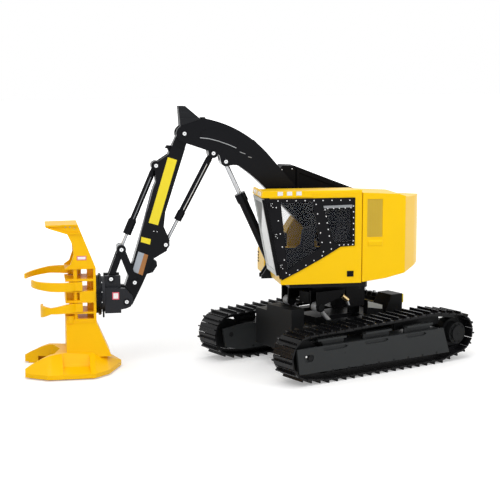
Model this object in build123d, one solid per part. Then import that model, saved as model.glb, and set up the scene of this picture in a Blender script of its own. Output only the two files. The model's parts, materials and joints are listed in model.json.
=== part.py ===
from build123d import *
import math
import os

# Tracked feller buncher, a 1:32 scale model, in millimetres.
# X runs forward along the tracks, Y to the left, Z up from the floor, and the
# origin is on the floor under the centre of the swing bearing.
# Everything above the swing bearing is drawn straight ahead, then turned by SWING.

# Fits
PIN_GAP = 0.06          # radial clearance of a pin in the eye that turns on it
SEAT_GAP = 0.02         # radial clearance of a pin in the ears that hold it
SIDE_GAP = 0.3          # side clearance of an eye between its ears
SLIDE_GAP = 0.06        # radial clearance of a rod in its gland
# Room round an eye where a linkage is opened, for the eye's drift from its pin
LEVEL_PLAY = 0.25
BOOM_PLAY = 2.5
STICK_PLAY = 2.7
TILT_PLAY = 3.0
LINK_PLAY = 0.5

# Stance
SWING = -24.67          # heading of the upper structure over the tracks

# Tracks
GAUGE = 82.8            # between the centre lines of the tracks
SHOE_WIDTH = 19.3
SHOES = 49
SHOE_PLATE = 1.0        # thickness of a shoe's plate
GROUSER = 1.5           # height of the bar on a shoe
GROUSER_THICK = 0.9
SHOE_SPLIT = 0.55       # gap between one shoe and the next
SHOE_SEAT = 0.35        # depth of the chain's links in the shoes
CHAIN_WIDTH = 7.0
CHAIN_DEEP = 2.4
IDLER = (59.5, 16.8)    # X, Z of its centre
IDLER_WRAP = 13.5       # from its centre to the back of the shoe plates
SPROCKET = (-60.6, 17.8)
SPROCKET_WRAP = 12.7
END_ROLLER_X = 46.0
END_ROLLER_R = 5.0
TOP_SKID_X = -42.0
TOP_SKID_R = 4.5
TOP_SKID_Z = 28.9
CHAIN_GAP = 0.25        # between a wheel or skid and the chain on it

# Track frames
PLATE_THICK = 1.5       # outer side plate
BEAM_LOW = 9.9
BEAM_HIGH = 22.6
BEAM_Y = GAUGE / 2 - 8.0        # inner face of the track frame
FRAME_OUTER = (GAUGE + SHOE_WIDTH) / 2 - 0.3
BAR_Y = FRAME_OUTER - 4.55      # inner face of the guide bars
HUB_R = 7.0
HUB_CAP_R = 4.9
AXLE_R = 1.6
ROLLER_R = 2.2
ROLLER_AXLE_R = 0.8
ROLLER_Z = GROUSER + SHOE_PLATE + CHAIN_DEEP + CHAIN_GAP + ROLLER_R
ROLLERS = 8

# Carbody
CARBODY_LOW = 12.0
CARBODY_HIGH = 31.0
BASE_HOLE_X = 16.0       # two screw holes under the carbody
BASE_HOLES_APART = 16.0
BASE_HOLE_R = 1.25
BASE_HOLE_DEEP = 6.0
FRONT_BOX_X = 50.1
FRONT_BOX_DEEP = 9.7
FRONT_BOX_HALF = 19.3
FRONT_BOX_HIGH = 40.0

# Levelling
LEVEL_PIN = (-8.0, 40.0)        # X, Z of the hinge that tips the upper forward
LEVEL_PIN_R = 1.6
LEVEL_CYL_Y = 15.0
LEVEL_LOW = (1.0, 13.0)         # X, Z of a levelling cylinder's lower eye
LEVEL_TOP = (27.0, 39.0)        # X, Z of its rod's eye
LEVEL_BARREL = 19.8
LEVEL_BARREL_R = 2.4
LEVEL_COLLAR = (3.4, 0.5)       # length and step of a cylinder's gland
LEVEL_ROD_R = 1.3
LEVEL_STROKE = 6.0              # length of rod inside its barrel
RING_R = 20.0
RING_LOW = 48.0
DECK_LOW = 53.0
DECK_HIGH = 57.0

# Cab
CAB_LEFT = 45.75
CAB_RIGHT = 15.0
CAB_WALL = 1.8
CAB_REAR = -4.5
CAB_HIGH = 111.9                # top of the walls, under the roof plate
ROOF_LEFT = 114.3               # height of the roof at its left edge
ROOF_RIGHT = 112.9
SILL = (45.6, 57.1)             # X, Z of the foot of the slanted front
BROW = (56.0, 110.4)            # X, Z of the top of the slanted front
BROW_REAR = 26.5
BROW_SIDE = 0.7                 # how far the brow stands out of the cab's side
BROW_FRONT = 2.0
LAMPS = (46.5, 40.8, 35.0)      # X of the lamps in the brow
LAMP_WIDE = 3.2
LAMP_LOW = 111.6
LAMP_HIGH = 114.0
LAMP_DEEP = 0.4
HOOD_GAP = 0.5
HOOD_HIGH = 112.6
HOOD_RIGHT_HIGH = 104.0         # the hood is lower beside the boom
VENT = (-17.5, -7.9, 85.2, 108.4)       # X and Z limits of the vent in the hood's side
VENT_DEEP = 0.8
DOOR_LOW = 63.5
DOOR_HIGH = 109.2
DOOR_THICK = 1.5
DOOR_GAP = 0.3
GLASS = 0.8

# Boom, in the plane of the arm, which has Y = 0
FOOT = (4.0, 76.0)
TIP = (99.0, 147.2)
BOOM_HALF = 6.0
FORK_HALF = 3.6         # half of the slot in the boom's tip
BOOM_CYL_FOOT = (42.0, 62.0)
BOOM_CYL_EYE = (73.0, 129.5)
BOOM_BARREL = 51.6
BOOM_BARREL_R = 3.0
BOOM_COLLAR = (5.5, 0.6)
BOOM_ROD_R = 1.5
BOOM_STROKE = 36.0
STICK_CYL_FOOT = (80.9, 134.8)
STICK_CYL_EYE = (111.1, 77.7)
STICK_BARREL = 47.7
STICK_BARREL_R = 2.1
STICK_COLLAR = (6.0, 0.4)
STICK_ROD_R = 1.1
STICK_STROKE = 30.0
EYE_HALF = 2.4          # half width of a cylinder's eye
EAR = 1.3               # thickness of an ear
EYE_WALL = 1.5          # wall of an eye round its pin
ARM_PIN_R = 1.5

# Stick and its linkage
WRIST = (136.4, 43.1)
STICK_HALF = 3.3        # half width of the stick where it enters the boom's fork
STICK_WIDE = 4.4        # half width lower down
TILT_CYL_FOOT = (116.7, 127.4)
TILT_CYL_EYE = (139.0, 75.5)
TILT_BARREL = 46.6
TILT_BARREL_R = 1.9
TILT_COLLAR = (9.5, 0.8)
TILT_ROD_R = 1.0
TILT_STROKE = 30.0
ROCKER_PIN = (131.0, 54.6)
LINK_PIN = (145.8, 57.4)
LINK_THICK = 1.4
LINK_OUTER = EYE_HALF + SIDE_GAP + LINK_THICK

# Felling head
TOWER_BACK = 155.4
TOWER_FRONT = TOWER_BACK + 18.8
RING_X = TOWER_BACK - 3.4       # back of the rotator's ring
RING_Z = 47.0           # height of the rotator's axis
ROTATOR_R = 13.2
TOWER_HALF = 11.0
TOWER_WALL = 1.6
TOWER_LOW = 31.0
TOWER_HIGH = 65.2       # top of the box that holds the arms
TOWER_WEB = 3.0         # half width of the web behind the arms
# outline of the mast, X and Z from the rear edge of the box's top
MAST = (
    (0, 0), (10.7, 27.4), (30.4, 27.1), (30.1, 25.8), (28.2, 24.9), (17.1, 21.3),
    (13.9, 14.5), (13.4, 8.4), (15.5, 2.4), (18.8, 0),
)
SAW_X = 170.0
SAW_R = 22.2
SAW_Z = 2.6
SAW_ROOM = 1.8          # between the teeth and the housing
SPINDLE_R = 2.0
ARM_PIVOT_X = TOWER_FRONT - 6.2
ARM_PIVOT_Y = TOWER_HALF - 2.0
ARM_EYE_R = 3.0
GRAB_PIN_R = 1.3
# Z of the floor and roof of each bay that is open to both sides
BAYS = ((33.4, 36.7), (37.7, 43.6), (50.9, 57.1), (58.5, 64.6))
# columns: name, side, root low and high, middle low and high, tip low and high, tip ahead of the tower
ARMS = (
    ("grab_arm_right", -1, 59.0, 64.0, 59.4, 63.6, 58.0, 61.0, 24.8),
    ("grab_arm_left", 1, 51.3, 56.7, 51.6, 57.0, 53.0, 57.0, 20.8),
    ("accumulator_arm", 1, 38.0, 43.3, 37.6, 41.2, 34.0, 42.0, 14.8),
)
LIP_LOW = 1.0
LIP_HIGH = 3.6
# columns: X from the saw's centre, Y of the edge, Y and Z of the ridge
HOUSING = (
    (29.8, 24.0, 20.5, 5.4),
    (26.5, 26.3, 19.0, 7.5),
    (19.0, 31.5, 18.6, 11.0),
    (16.4, 33.4, 18.5, 11.9),
    (14.0, 33.4, 18.5, 12.6),
    (7.5, 33.3, 15.0, 13.0),
    (-12.3, 33.0, 13.0, 12.8),
    (-21.2, 23.7, 9.0, 8.5),
    (-30.3, 0.7, 0.4, 4.2),
)
# outline of the room between the prongs, X from the saw's centre and Y
MOUTH = ((31, 20.6), (20, 17), (12, 14), (8, 0))


def side_plane(y):
    """Plane at the given Y whose own axes are X and Z, facing right."""
    return Plane(origin=(0, y, 0), x_dir=(1, 0, 0), z_dir=(0, -1, 0))


def prism(outline, right, left):
    """Solid between two Y values from an outline of X, Z points or edges."""
    if isinstance(outline[0], tuple):
        outline = [Polyline(*outline, close=True)]
    face = make_face(outline)
    return extrude(side_plane(left) * face, left - right)


def disc(at, radius, right, left):
    """Round piece across the machine, at X, Z, between two Y values."""
    return extrude(side_plane(left) * Pos(*at) * Circle(radius), left - right)


def block(low, high):
    """Box from its lowest to its highest corner."""
    size = [b - a for a, b in zip(low, high)]
    middle = [(a + b) / 2 for a, b in zip(low, high)]
    return Pos(*middle) * Box(*size)


def both_sides(piece):
    """A piece and its mirror image across the machine's centre plane."""
    return piece + mirror(piece, Plane.XZ)


def between(start, end, travelled):
    """Point at a distance from start towards end, in a side view."""
    whole = math.dist(start, end)
    return tuple(a + (b - a) * travelled / whole for a, b in zip(start, end))


def tube_along(start, end, radius, y=0.0):
    """Round bar from start to end, both X, Z, at one Y."""
    length = math.dist(start, end)
    heading = (end[0] - start[0], 0, end[1] - start[1])
    plane = Plane(origin=(start[0], y, start[1]), x_dir=(0, 1, 0), z_dir=heading)
    return extrude(plane * Circle(radius), length)


def barrel(foot, eye, length, radius, rod_radius, pin_radius, collar, y=0.0):
    """Cylinder barrel with its foot eye, bored for its rod; collar is its gland's length and step."""
    mouth = between(foot, eye, length)
    gland = between(foot, eye, length - collar[0])
    slope = between(foot, eye, length - collar[0] - collar[1])
    bore_end = between(foot, eye, pin_radius + EYE_WALL + 1.5)
    shoulder = pin_radius + EYE_WALL + 1.2
    body = tube_along(between(foot, eye, shoulder), mouth, radius, y)
    neck = min(radius, EYE_HALF) - 0.2
    body += tube_along(between(foot, eye, pin_radius + 0.6), between(foot, eye, shoulder + 0.1), neck, y)
    body += tube_along(gland, mouth, radius + collar[1], y)
    body += tube_along(slope, gland, radius + collar[1] / 2, y)
    body += disc(foot, pin_radius + EYE_WALL, y - EYE_HALF, y + EYE_HALF)
    body -= disc(foot, pin_radius + PIN_GAP, y - EYE_HALF, y + EYE_HALF)
    body -= tube_along(bore_end, between(foot, eye, length + 1), rod_radius + SLIDE_GAP, y)
    return body


def rod(foot, eye, length, stroke, rod_radius, pin_radius, y=0.0):
    """Piston rod with its eye, running down into the barrel."""
    tail = between(foot, eye, length - stroke)
    hole = pin_radius + PIN_GAP
    body = tube_along(tail, between(eye, foot, hole + 0.5), rod_radius, y)
    body += disc(eye, pin_radius + EYE_WALL, y - EYE_HALF, y + EYE_HALF)
    body -= disc(eye, hole, y - EYE_HALF, y + EYE_HALF)
    return body


def pin(at, radius, half, y=0.0, head=0.5, waist=None):
    """Pin across the machine with a head at each end.

    waist is the radius and half width of a thinner middle; with no radius left it is two stubs.
    """
    thin, inner = waist or (radius, half / 2)
    ends = [
        disc(at, radius, y + inner, y + half) + disc(at, radius + head, y + half, y + half + 0.4),
        disc(at, radius, y - half, y - inner) + disc(at, radius + head, y - half - 0.4, y - half),
    ]
    if thin <= 0:
        return Compound(ends)
    return ends[0] + ends[1] + disc(at, thin, y - inner, y + inner)


def swept_slot(at, towards, half, length, spread):
    """Outline of a slot for a rod from at, opened by spread degrees each way."""
    heading = math.atan2(towards[1] - at[1], towards[0] - at[0])
    points = []
    for turn, across in ((-spread, -half), (spread, half)):
        angle = heading + math.radians(turn)
        near = (at[0] - across * math.sin(angle), at[1] + across * math.cos(angle))
        far = (near[0] + length * math.cos(angle), near[1] + length * math.sin(angle))
        points.append((near, far))
    return [points[0][0], points[0][1], points[1][1], points[1][0]]


def turned(piece):
    """A piece of the upper structure at its parked heading."""
    return Rot(0, 0, SWING) * piece


parts = {}


def add(name, piece):
    """Keep a finished piece under its node's name."""
    parts[name] = piece


def add_upper(name, piece):
    """Keep a piece that stands on the swing bearing."""
    add(name, turned(piece))


# Tracks
def track_face(inset):
    """Outline that the backs of the shoes follow, drawn in by inset."""
    rounds = [
        (*IDLER, IDLER_WRAP),
        (*SPROCKET, SPROCKET_WRAP),
        (TOP_SKID_X, TOP_SKID_Z, TOP_SKID_R),
        (END_ROLLER_X, GROUSER + END_ROLLER_R, END_ROLLER_R),
        (-END_ROLLER_X, GROUSER + END_ROLLER_R, END_ROLLER_R),
    ]
    # columns: X, Z, radius
    circles = [Pos(x, z) * Circle(r - inset) for x, z, r in rounds]
    edges = [edge for circle in circles for edge in circle.edges()]
    return make_hull(edges)


def track(y):
    """Closed chain with its single grouser shoes, centred on y."""
    seat = SHOE_PLATE - SHOE_SEAT
    belt = track_face(seat) - track_face(SHOE_PLATE + CHAIN_DEEP)
    half_chain = CHAIN_WIDTH / 2
    chain = extrude(side_plane(y + half_chain) * belt, CHAIN_WIDTH)
    loop = track_face(0).faces()[0].outer_wire()
    pitch = loop.length / SHOES
    shoe_length = pitch - SHOE_SPLIT
    shoes = []
    for number in range(SHOES):
        place = (number + 0.5) / SHOES
        at = loop @ place
        along = loop % place
        outward = Vector(along.Y, -along.X)
        if outward.dot(at - Vector(0, IDLER[1])) < 0:
            outward = outward * -1
        section = [
            (-shoe_length / 2, -SHOE_PLATE),
            (shoe_length / 2, -SHOE_PLATE),
            (shoe_length / 2, 0),
            (GROUSER_THICK / 2, 0),
            (GROUSER_THICK / 2, GROUSER),
            (-GROUSER_THICK / 2, GROUSER),
            (-GROUSER_THICK / 2, 0),
            (-shoe_length / 2, 0),
        ]
        points = [
            (at.X + along.X * a + outward.X * b, at.Y + along.Y * a + outward.Y * b)
            for a, b in section
        ]
        shoes.append(prism(points, y - SHOE_WIDTH / 2, y + SHOE_WIDTH / 2))
    return chain.fuse(*shoes)


def track_frame(side):
    """Box beam with an inner and an outer plate, guide bars and motor case."""
    outer = FRAME_OUTER
    frame = prism(
        [(52, BEAM_LOW), (52, BEAM_HIGH), (-46, BEAM_HIGH), (-46, BEAM_LOW)],
        BEAM_Y,
        outer - PLATE_THICK,
    )
    side_outline = [(69.3, 23.0), (67.3, 7.6), (-53.0, 6.4), (-47.6, 22.7)]
    plate = prism(side_outline, outer - PLATE_THICK, outer)
    for front, back in ((50.5, 31.0), (18.0, -1.5), (-15.0, -33.0)):
        slot = [(front, 20.9), (front - 1.2, 22.0), (back + 1.2, 22.0), (back, 20.9), (back + 2.5, 19.9), (front - 2.5, 19.9)]
        plate -= prism(slot, outer - 0.9, outer)
    frame += plate
    inner_outline = [(66, 21.0), (64, 9.0), (52, 6.0), (-50, 6.4), (-46, 22.6), (52, BEAM_HIGH)]
    frame += prism(inner_outline, BEAM_Y, BEAM_Y + PLATE_THICK)
    # columns: front end, rear end
    for front, back in ((53.2, 31.5), (16.2, -4.5), (-17.2, -38.9)):
        frame += block((back, BAR_Y, BEAM_HIGH - 0.5), (front, BAR_Y + 1.2, BEAM_HIGH + 4.6))
        frame += block((back, BAR_Y, BEAM_HIGH + 3.4), (front, outer - 0.6, BEAM_HIGH + 4.6))
    # the idler runs in the open front of the beam
    frame -= disc(IDLER, IDLER_WRAP, BEAM_Y + PLATE_THICK, outer - PLATE_THICK)
    frame -= disc(IDLER, AXLE_R + SEAT_GAP, BEAM_Y - 1, outer + 1)
    frame += disc(SPROCKET, 7.5, BEAM_Y, BEAM_Y + 3.0)
    frame += prism([(-45.9, 10.5), (-45.9, 22.6), (-60, 25.2), (-60, 10.4)], BEAM_Y, BEAM_Y + 3.0)
    # oval recess round the idler's axle
    recess = SlotCenterToCenter(3.0, 2 * AXLE_R + 1.2)
    frame -= extrude(side_plane(outer) * Pos(IDLER[0] + 0.9, IDLER[1]) * recess, 0.8)
    for x in roller_places():
        frame -= disc((x, ROLLER_Z), ROLLER_AXLE_R + SEAT_GAP, BEAM_Y - 1, outer + 1)
    if side < 0:
        frame = mirror(frame, Plane.XZ)
    return frame


def roller_places():
    """X of each bottom roller."""
    span = 2 * END_ROLLER_X - 8
    return [-span / 2 + span * number / (ROLLERS - 1) for number in range(ROLLERS)]


def wheel_rim(at, wrap):
    """Rim that the chain wraps, on the track's centre line."""
    middle = GAUGE / 2
    rim = wrap - SHOE_PLATE - CHAIN_DEEP - CHAIN_GAP
    return disc(at, rim, middle - CHAIN_WIDTH / 2, middle + CHAIN_WIDTH / 2)


def sprocket(side):
    """Drive sprocket with its stepped final drive."""
    outer = FRAME_OUTER + 0.3
    body = wheel_rim(SPROCKET, SPROCKET_WRAP)
    body += disc(SPROCKET, HUB_R, BEAM_Y + 3.1, outer - 1.4)
    body += disc(SPROCKET, HUB_CAP_R, outer - 1.4, outer - 0.2)
    if side < 0:
        body = mirror(body, Plane.XZ)
    return body


def idler(side):
    """Front idler on its axle."""
    body = wheel_rim(IDLER, IDLER_WRAP)
    body += disc(IDLER, AXLE_R, BEAM_Y, FRAME_OUTER + 0.3)
    if side < 0:
        body = mirror(body, Plane.XZ)
    return body


def rollers(side):
    """Bottom rollers that carry one track frame on its chain."""
    middle = GAUGE / 2
    group = []
    for x in roller_places():
        roller = disc((x, ROLLER_Z), ROLLER_R, middle - 5, middle + 5)
        roller += disc((x, ROLLER_Z), ROLLER_AXLE_R, BEAM_Y, FRAME_OUTER)
        group.append(roller)
    pieces = Compound(group)
    if side < 0:
        pieces = mirror(pieces, Plane.XZ)
    return pieces


# Undercarriage
def carbody():
    """Centre frame between the track frames."""
    low = CARBODY_LOW
    body = block((-24, -27, low), (24, 27, CARBODY_HIGH))
    for x in (-22, 14):
        body += block((x, -BEAM_Y, low + 1), (x + 12, BEAM_Y, CARBODY_HIGH - 9))
    body += block((24, -FRONT_BOX_HALF, low + 4), (FRONT_BOX_X - FRONT_BOX_DEEP, FRONT_BOX_HALF, 27))
    body -= both_sides(block((-6, LEVEL_CYL_Y - 5, low - 1), (26, LEVEL_CYL_Y + 5, CARBODY_HIGH + 1)))
    for y in (-BASE_HOLES_APART / 2, BASE_HOLES_APART / 2):
        body -= Pos(BASE_HOLE_X, y, low) * extrude(Circle(BASE_HOLE_R), BASE_HOLE_DEEP)
    # ears for the lower eyes of the levelling cylinders
    for y in (-LEVEL_CYL_Y, LEVEL_CYL_Y):
        near = block((-6, y - 5, low), (6, y - EYE_HALF - SIDE_GAP, 18))
        far = block((-6, y + EYE_HALF + SIDE_GAP, low), (6, y + 5, 18))
        body += near + far
        body -= disc(LEVEL_LOW, LEVEL_PIN_R + SEAT_GAP, y - 5, y + 5)
    # slanted panels beside the hinge
    panel = [(-24, CARBODY_HIGH), (-24, 35.8), (-10.4, 40.0), (-10.4, CARBODY_HIGH)]
    body += both_sides(prism(panel, LEVEL_CYL_Y + 0.2, FRONT_BOX_HALF - 0.3))
    # ears for the levelling hinge
    for y in (-9.5, 6.5):
        body += block((LEVEL_PIN[0] - 3.8, y, CARBODY_HIGH - 1), (LEVEL_PIN[0] + 3.8, y + 3, LEVEL_PIN[1]))
        body += disc(LEVEL_PIN, 3.8, y, y + 3)
        body -= disc(LEVEL_PIN, LEVEL_PIN_R + SEAT_GAP, y, y + 3)
    return body


def front_box():
    """Stepped guard box ahead of the carbody."""
    low = 13.0
    box = block(
        (FRONT_BOX_X - FRONT_BOX_DEEP, -FRONT_BOX_HALF, low),
        (FRONT_BOX_X, FRONT_BOX_HALF, FRONT_BOX_HIGH),
    )
    box -= block(
        (FRONT_BOX_X - FRONT_BOX_DEEP, -FRONT_BOX_HALF, FRONT_BOX_HIGH - 4),
        (FRONT_BOX_X, -FRONT_BOX_HALF + 12, FRONT_BOX_HIGH),
    )
    return box


def rear_box():
    """Box with a slanted front on the rear of the carbody, tall on the left, with valves on its low right."""
    step = 5.0
    tall = [(-25.8, 26), (-25.8, 31), (-31.0, 41.5), (-40, 41.5), (-40, 26)]
    low = [(-25.8, 26), (-25.8, 31), (-28.2, 35.5), (-40, 35.5), (-40, 26)]
    box = prism(tall, step, FRONT_BOX_HALF) + prism(low, -FRONT_BOX_HALF, step)
    box += block((-38, -15, 35.5), (-30.5, 1, 37.5))
    for y in (-12, -7, -2):
        box += Pos(-34, y, 37.5) * extrude(Circle(1.9), 2.4)
    return box


def rear_bracket():
    """Shelf that carries the rear box off the carbody."""
    return block((-40, -16, 14), (-24, 16, 25.9))


def level_frame():
    """Tilting frame: hinge lugs, cylinder lugs, turntable seat."""
    frame = extrude(Pos(0, 0, RING_LOW - 4) * Circle(RING_R - 2), 4)
    frame += extrude(Pos(0, 0, RING_LOW) * Circle(RING_R), DECK_LOW - 0.3 - RING_LOW)
    for y in (-13.0, 9.8):
        lug = block((LEVEL_PIN[0] - 4.5, y, LEVEL_PIN[1]), (LEVEL_PIN[0] + 4.5, y + 3.2, RING_LOW - 2))
        lug += disc(LEVEL_PIN, 4.5, y, y + 3.2)
        frame += lug
    frame -= disc(LEVEL_PIN, LEVEL_PIN_R + PIN_GAP, -13, 13)
    for y in (-LEVEL_CYL_Y, LEVEL_CYL_Y):
        for edge in (y - EYE_HALF - SIDE_GAP - EAR, y + EYE_HALF + SIDE_GAP):
            lug = prism(
                [(LEVEL_TOP[0] + 3, LEVEL_TOP[1]), (LEVEL_TOP[0] + 3, RING_LOW + 1), (8, RING_LOW + 1), (8, RING_LOW - 3)],
                edge,
                edge + EAR,
            )
            lug += disc(LEVEL_TOP, 3, edge, edge + EAR)
            frame += lug
        frame -= disc(LEVEL_TOP, LEVEL_PIN_R + SEAT_GAP, y - 6, y + 6)
    # cheek boxes over the hinge
    frame += both_sides(block((LEVEL_PIN[0], 15.2, 37.0), (LEVEL_PIN[0] + 15, 19.2, DECK_LOW - 1.8)))
    return frame


def level_pins():
    """Pins of the levelling hinge and of the cylinders' rods."""
    waist = (LEVEL_PIN_R + PIN_GAP - LEVEL_PLAY, EYE_HALF + SIDE_GAP)
    half = EYE_HALF + SIDE_GAP + EAR
    return Compound([pin(LEVEL_TOP, LEVEL_PIN_R, half, y, waist=waist) for y in (-LEVEL_CYL_Y, LEVEL_CYL_Y)])


def carbody_pins():
    """Pins that the carbody carries."""
    pins = [disc(LEVEL_LOW, LEVEL_PIN_R, y - 5, y + 5) for y in (-LEVEL_CYL_Y, LEVEL_CYL_Y)]
    pins.append(pin(LEVEL_PIN, LEVEL_PIN_R, 13.2))
    return Compound(pins)


# Upper structure
def deck():
    """Turntable disc, deck plate and the ears that carry the boom."""
    body = extrude(Pos(0, 0, DECK_LOW) * Circle(RING_R - 1), 1.5)
    body += block((-8, -20, DECK_LOW + 1.5), (40, 43, DECK_HIGH))
    # boom ears
    for y in (-BOOM_HALF - SIDE_GAP - 2.0, BOOM_HALF + SIDE_GAP):
        ear = prism([(-4, DECK_HIGH - 1), (20, DECK_HIGH - 1), (9, 78), (-1, 78)], y, y + 2.0)
        ear += disc(FOOT, 5.2, y, y + 2.0)
        ear -= disc(FOOT, ARM_PIN_R + 0.6 + SEAT_GAP, y, y + 2.0)
        body += ear
    # boom cylinder ears
    half = EYE_HALF + SIDE_GAP
    for y in (-half - 1.8, half):
        ear = prism([(34, DECK_HIGH - 1), (50, DECK_HIGH - 1), (46, 62), (38, 62)], y, y + 1.8)
        ear += block((34, y, DECK_LOW + 1.5), (50, y + 1.8, DECK_HIGH))
        ear += disc(BOOM_CYL_FOOT, 4.0, y, y + 1.8)
        ear -= disc(BOOM_CYL_FOOT, ARM_PIN_R + SEAT_GAP, y, y + 1.8)
        body += ear
    return body


def front_line(z):
    """X of the cab's slanted front at a height."""
    share = (z - SILL[1]) / (BROW[1] - SILL[1])
    return SILL[0] + (BROW[0] - SILL[0]) * share


def cab_shell():
    """Hollow cab with its front, side and rear window openings."""
    outline = [
        (CAB_REAR, SILL[1]),
        SILL,
        BROW,
        (BROW[0], CAB_HIGH),
        (CAB_REAR, CAB_HIGH),
    ]
    shell = prism(outline, CAB_RIGHT, CAB_LEFT)
    wall = CAB_WALL
    floor = SILL[1] + wall
    ceiling = CAB_HIGH - wall
    hollow = [
        (CAB_REAR + wall, floor),
        (front_line(floor) - wall, floor),
        (front_line(ceiling) - wall, ceiling),
        (CAB_REAR + wall, ceiling),
    ]
    shell -= prism(hollow, CAB_RIGHT + wall, CAB_LEFT - wall)
    # front opening
    front = [
        (front_line(DOOR_LOW) - 6, DOOR_LOW),
        (front_line(DOOR_LOW) + 3, DOOR_LOW),
        (front_line(DOOR_HIGH) + 3, DOOR_HIGH),
        (front_line(DOOR_HIGH) - 6, DOOR_HIGH),
    ]
    shell -= prism(front, CAB_RIGHT + 2.2, CAB_LEFT - 2.2)
    # left opening under the black panel
    shell -= prism(side_panel_outline(2.0), CAB_LEFT - wall, CAB_LEFT)
    # right window
    shell -= prism([(8, 76), (40, 76), (44, 106), (8, 106)], CAB_RIGHT, CAB_RIGHT + wall)
    return shell


def cab_roof():
    """Roof plate, lower to the right, with a brow round its front corner."""
    section = [
        (CAB_RIGHT, CAB_HIGH),
        (CAB_LEFT, CAB_HIGH),
        (CAB_LEFT, ROOF_LEFT - 0.4),
        (CAB_LEFT - 0.6, ROOF_LEFT),
        (CAB_RIGHT, ROOF_RIGHT),
    ]
    plane = Plane(origin=(CAB_REAR, 0, 0), x_dir=(0, 1, 0), z_dir=(1, 0, 0))
    roof = extrude(plane * make_face(Polyline(*section, close=True)), BROW[0] - CAB_REAR)
    side = CAB_LEFT + BROW_SIDE
    front = BROW[0] + BROW_FRONT
    roof += block((BROW_REAR, CAB_LEFT, BROW[1]), (BROW[0], side, ROOF_LEFT))
    roof += prism([(BROW[0], BROW[1]), (front, BROW[1]), (front - 0.8, ROOF_LEFT), (BROW[0], ROOF_LEFT)], CAB_RIGHT, side)
    for x in LAMPS:
        roof -= block((x - LAMP_WIDE / 2, side - LAMP_DEEP, LAMP_LOW), (x + LAMP_WIDE / 2, side, LAMP_HIGH))
    return roof


def brow_lamps():
    """Square lamps seated in the brow."""
    half = LAMP_WIDE / 2 - SEAT_GAP
    side = CAB_LEFT + BROW_SIDE
    low = LAMP_LOW + SEAT_GAP
    high = LAMP_HIGH - SEAT_GAP
    return Compound([block((x - half, side - LAMP_DEEP, low), (x + half, side + 0.2, high)) for x in LAMPS])


def side_panel_outline(inset=0.0):
    """Outline of the black panel on the cab's left side, drawn in by inset."""
    face = make_face([Polyline(
        (55.0, 109.7), (45.4, 60.0), (35.1, 65.0), (19.3, 73.5), (8.8, 79.8), (0, 80.3), (0, 109.7), close=True
    )])
    if inset:
        face = offset(face, -inset, kind=Kind.INTERSECTION)
    return list(face.edges())


FRONT_WINDOW = [(46.1, 107), (26.3, 107.7), (21.6, 79.5), (42.0, 66.0), (43.4, 83)]
REAR_WINDOW = [(19.5, 102.4), (1.8, 102.8), (1.6, 82), (12.5, 81.0)]


def side_panel():
    """Black panel with its two windows."""
    panel = prism(side_panel_outline(), CAB_LEFT + 0.05, CAB_LEFT + 0.6)
    panel -= prism(FRONT_WINDOW, CAB_LEFT, CAB_LEFT + 0.7)
    panel -= prism(REAR_WINDOW, CAB_LEFT, CAB_LEFT + 0.7)
    return panel


def cab_glass():
    """Panes of the fixed windows, set just inside the walls."""
    left = CAB_LEFT - 0.05
    panes = [
        prism(side_panel_outline(2.2), left - GLASS, left),
        prism([(8.2, 76.2), (39.8, 76.2), (43.7, 105.8), (8.2, 105.8)], CAB_RIGHT + 0.5, CAB_RIGHT + 1.3),
    ]
    return Compound(panes)


def door_slab(low, high, right, left, inner, outer):
    """Slab parallel to the cab's slanted front, from inner to outer of it."""
    return prism(
        [
            (front_line(low) + inner, low),
            (front_line(low) + outer, low),
            (front_line(high) + outer, high),
            (front_line(high) + inner, high),
        ],
        right,
        left,
    )


def cab_door():
    """Frame of the windshield door."""
    gap = DOOR_GAP
    frame = door_slab(DOOR_LOW - 1, DOOR_HIGH + 0.6, CAB_RIGHT + 0.4, CAB_LEFT - 0.4, gap, gap + DOOR_THICK)
    frame -= door_slab(DOOR_LOW + 2, DOOR_HIGH - 2, CAB_RIGHT + 3, CAB_LEFT - 3, 0, gap + DOOR_THICK + 1)
    return frame


def door_glass():
    """Pane of the windshield door."""
    gap = DOOR_GAP
    middle = gap + DOOR_THICK / 2
    return door_slab(
        DOOR_LOW + 2.05, DOOR_HIGH - 2.05, CAB_RIGHT + 3.05, CAB_LEFT - 3.05, middle - GLASS / 2, middle + GLASS / 2
    )


def cab_seat():
    """Operator's seat with its armrest consoles."""
    floor = SILL[1] + CAB_WALL
    seat = block((8, 24, floor), (20, 37, floor + 6))
    seat += block((6, 24, floor + 6), (22, 37, floor + 10))
    seat += prism([(6, floor + 10), (10, floor + 10), (6, floor + 32), (3, floor + 32)], 25, 36)
    for y in (20.5, 37.5):
        seat += block((8, y, floor + 6), (24, y + 3, floor + 14))
    return seat


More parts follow.
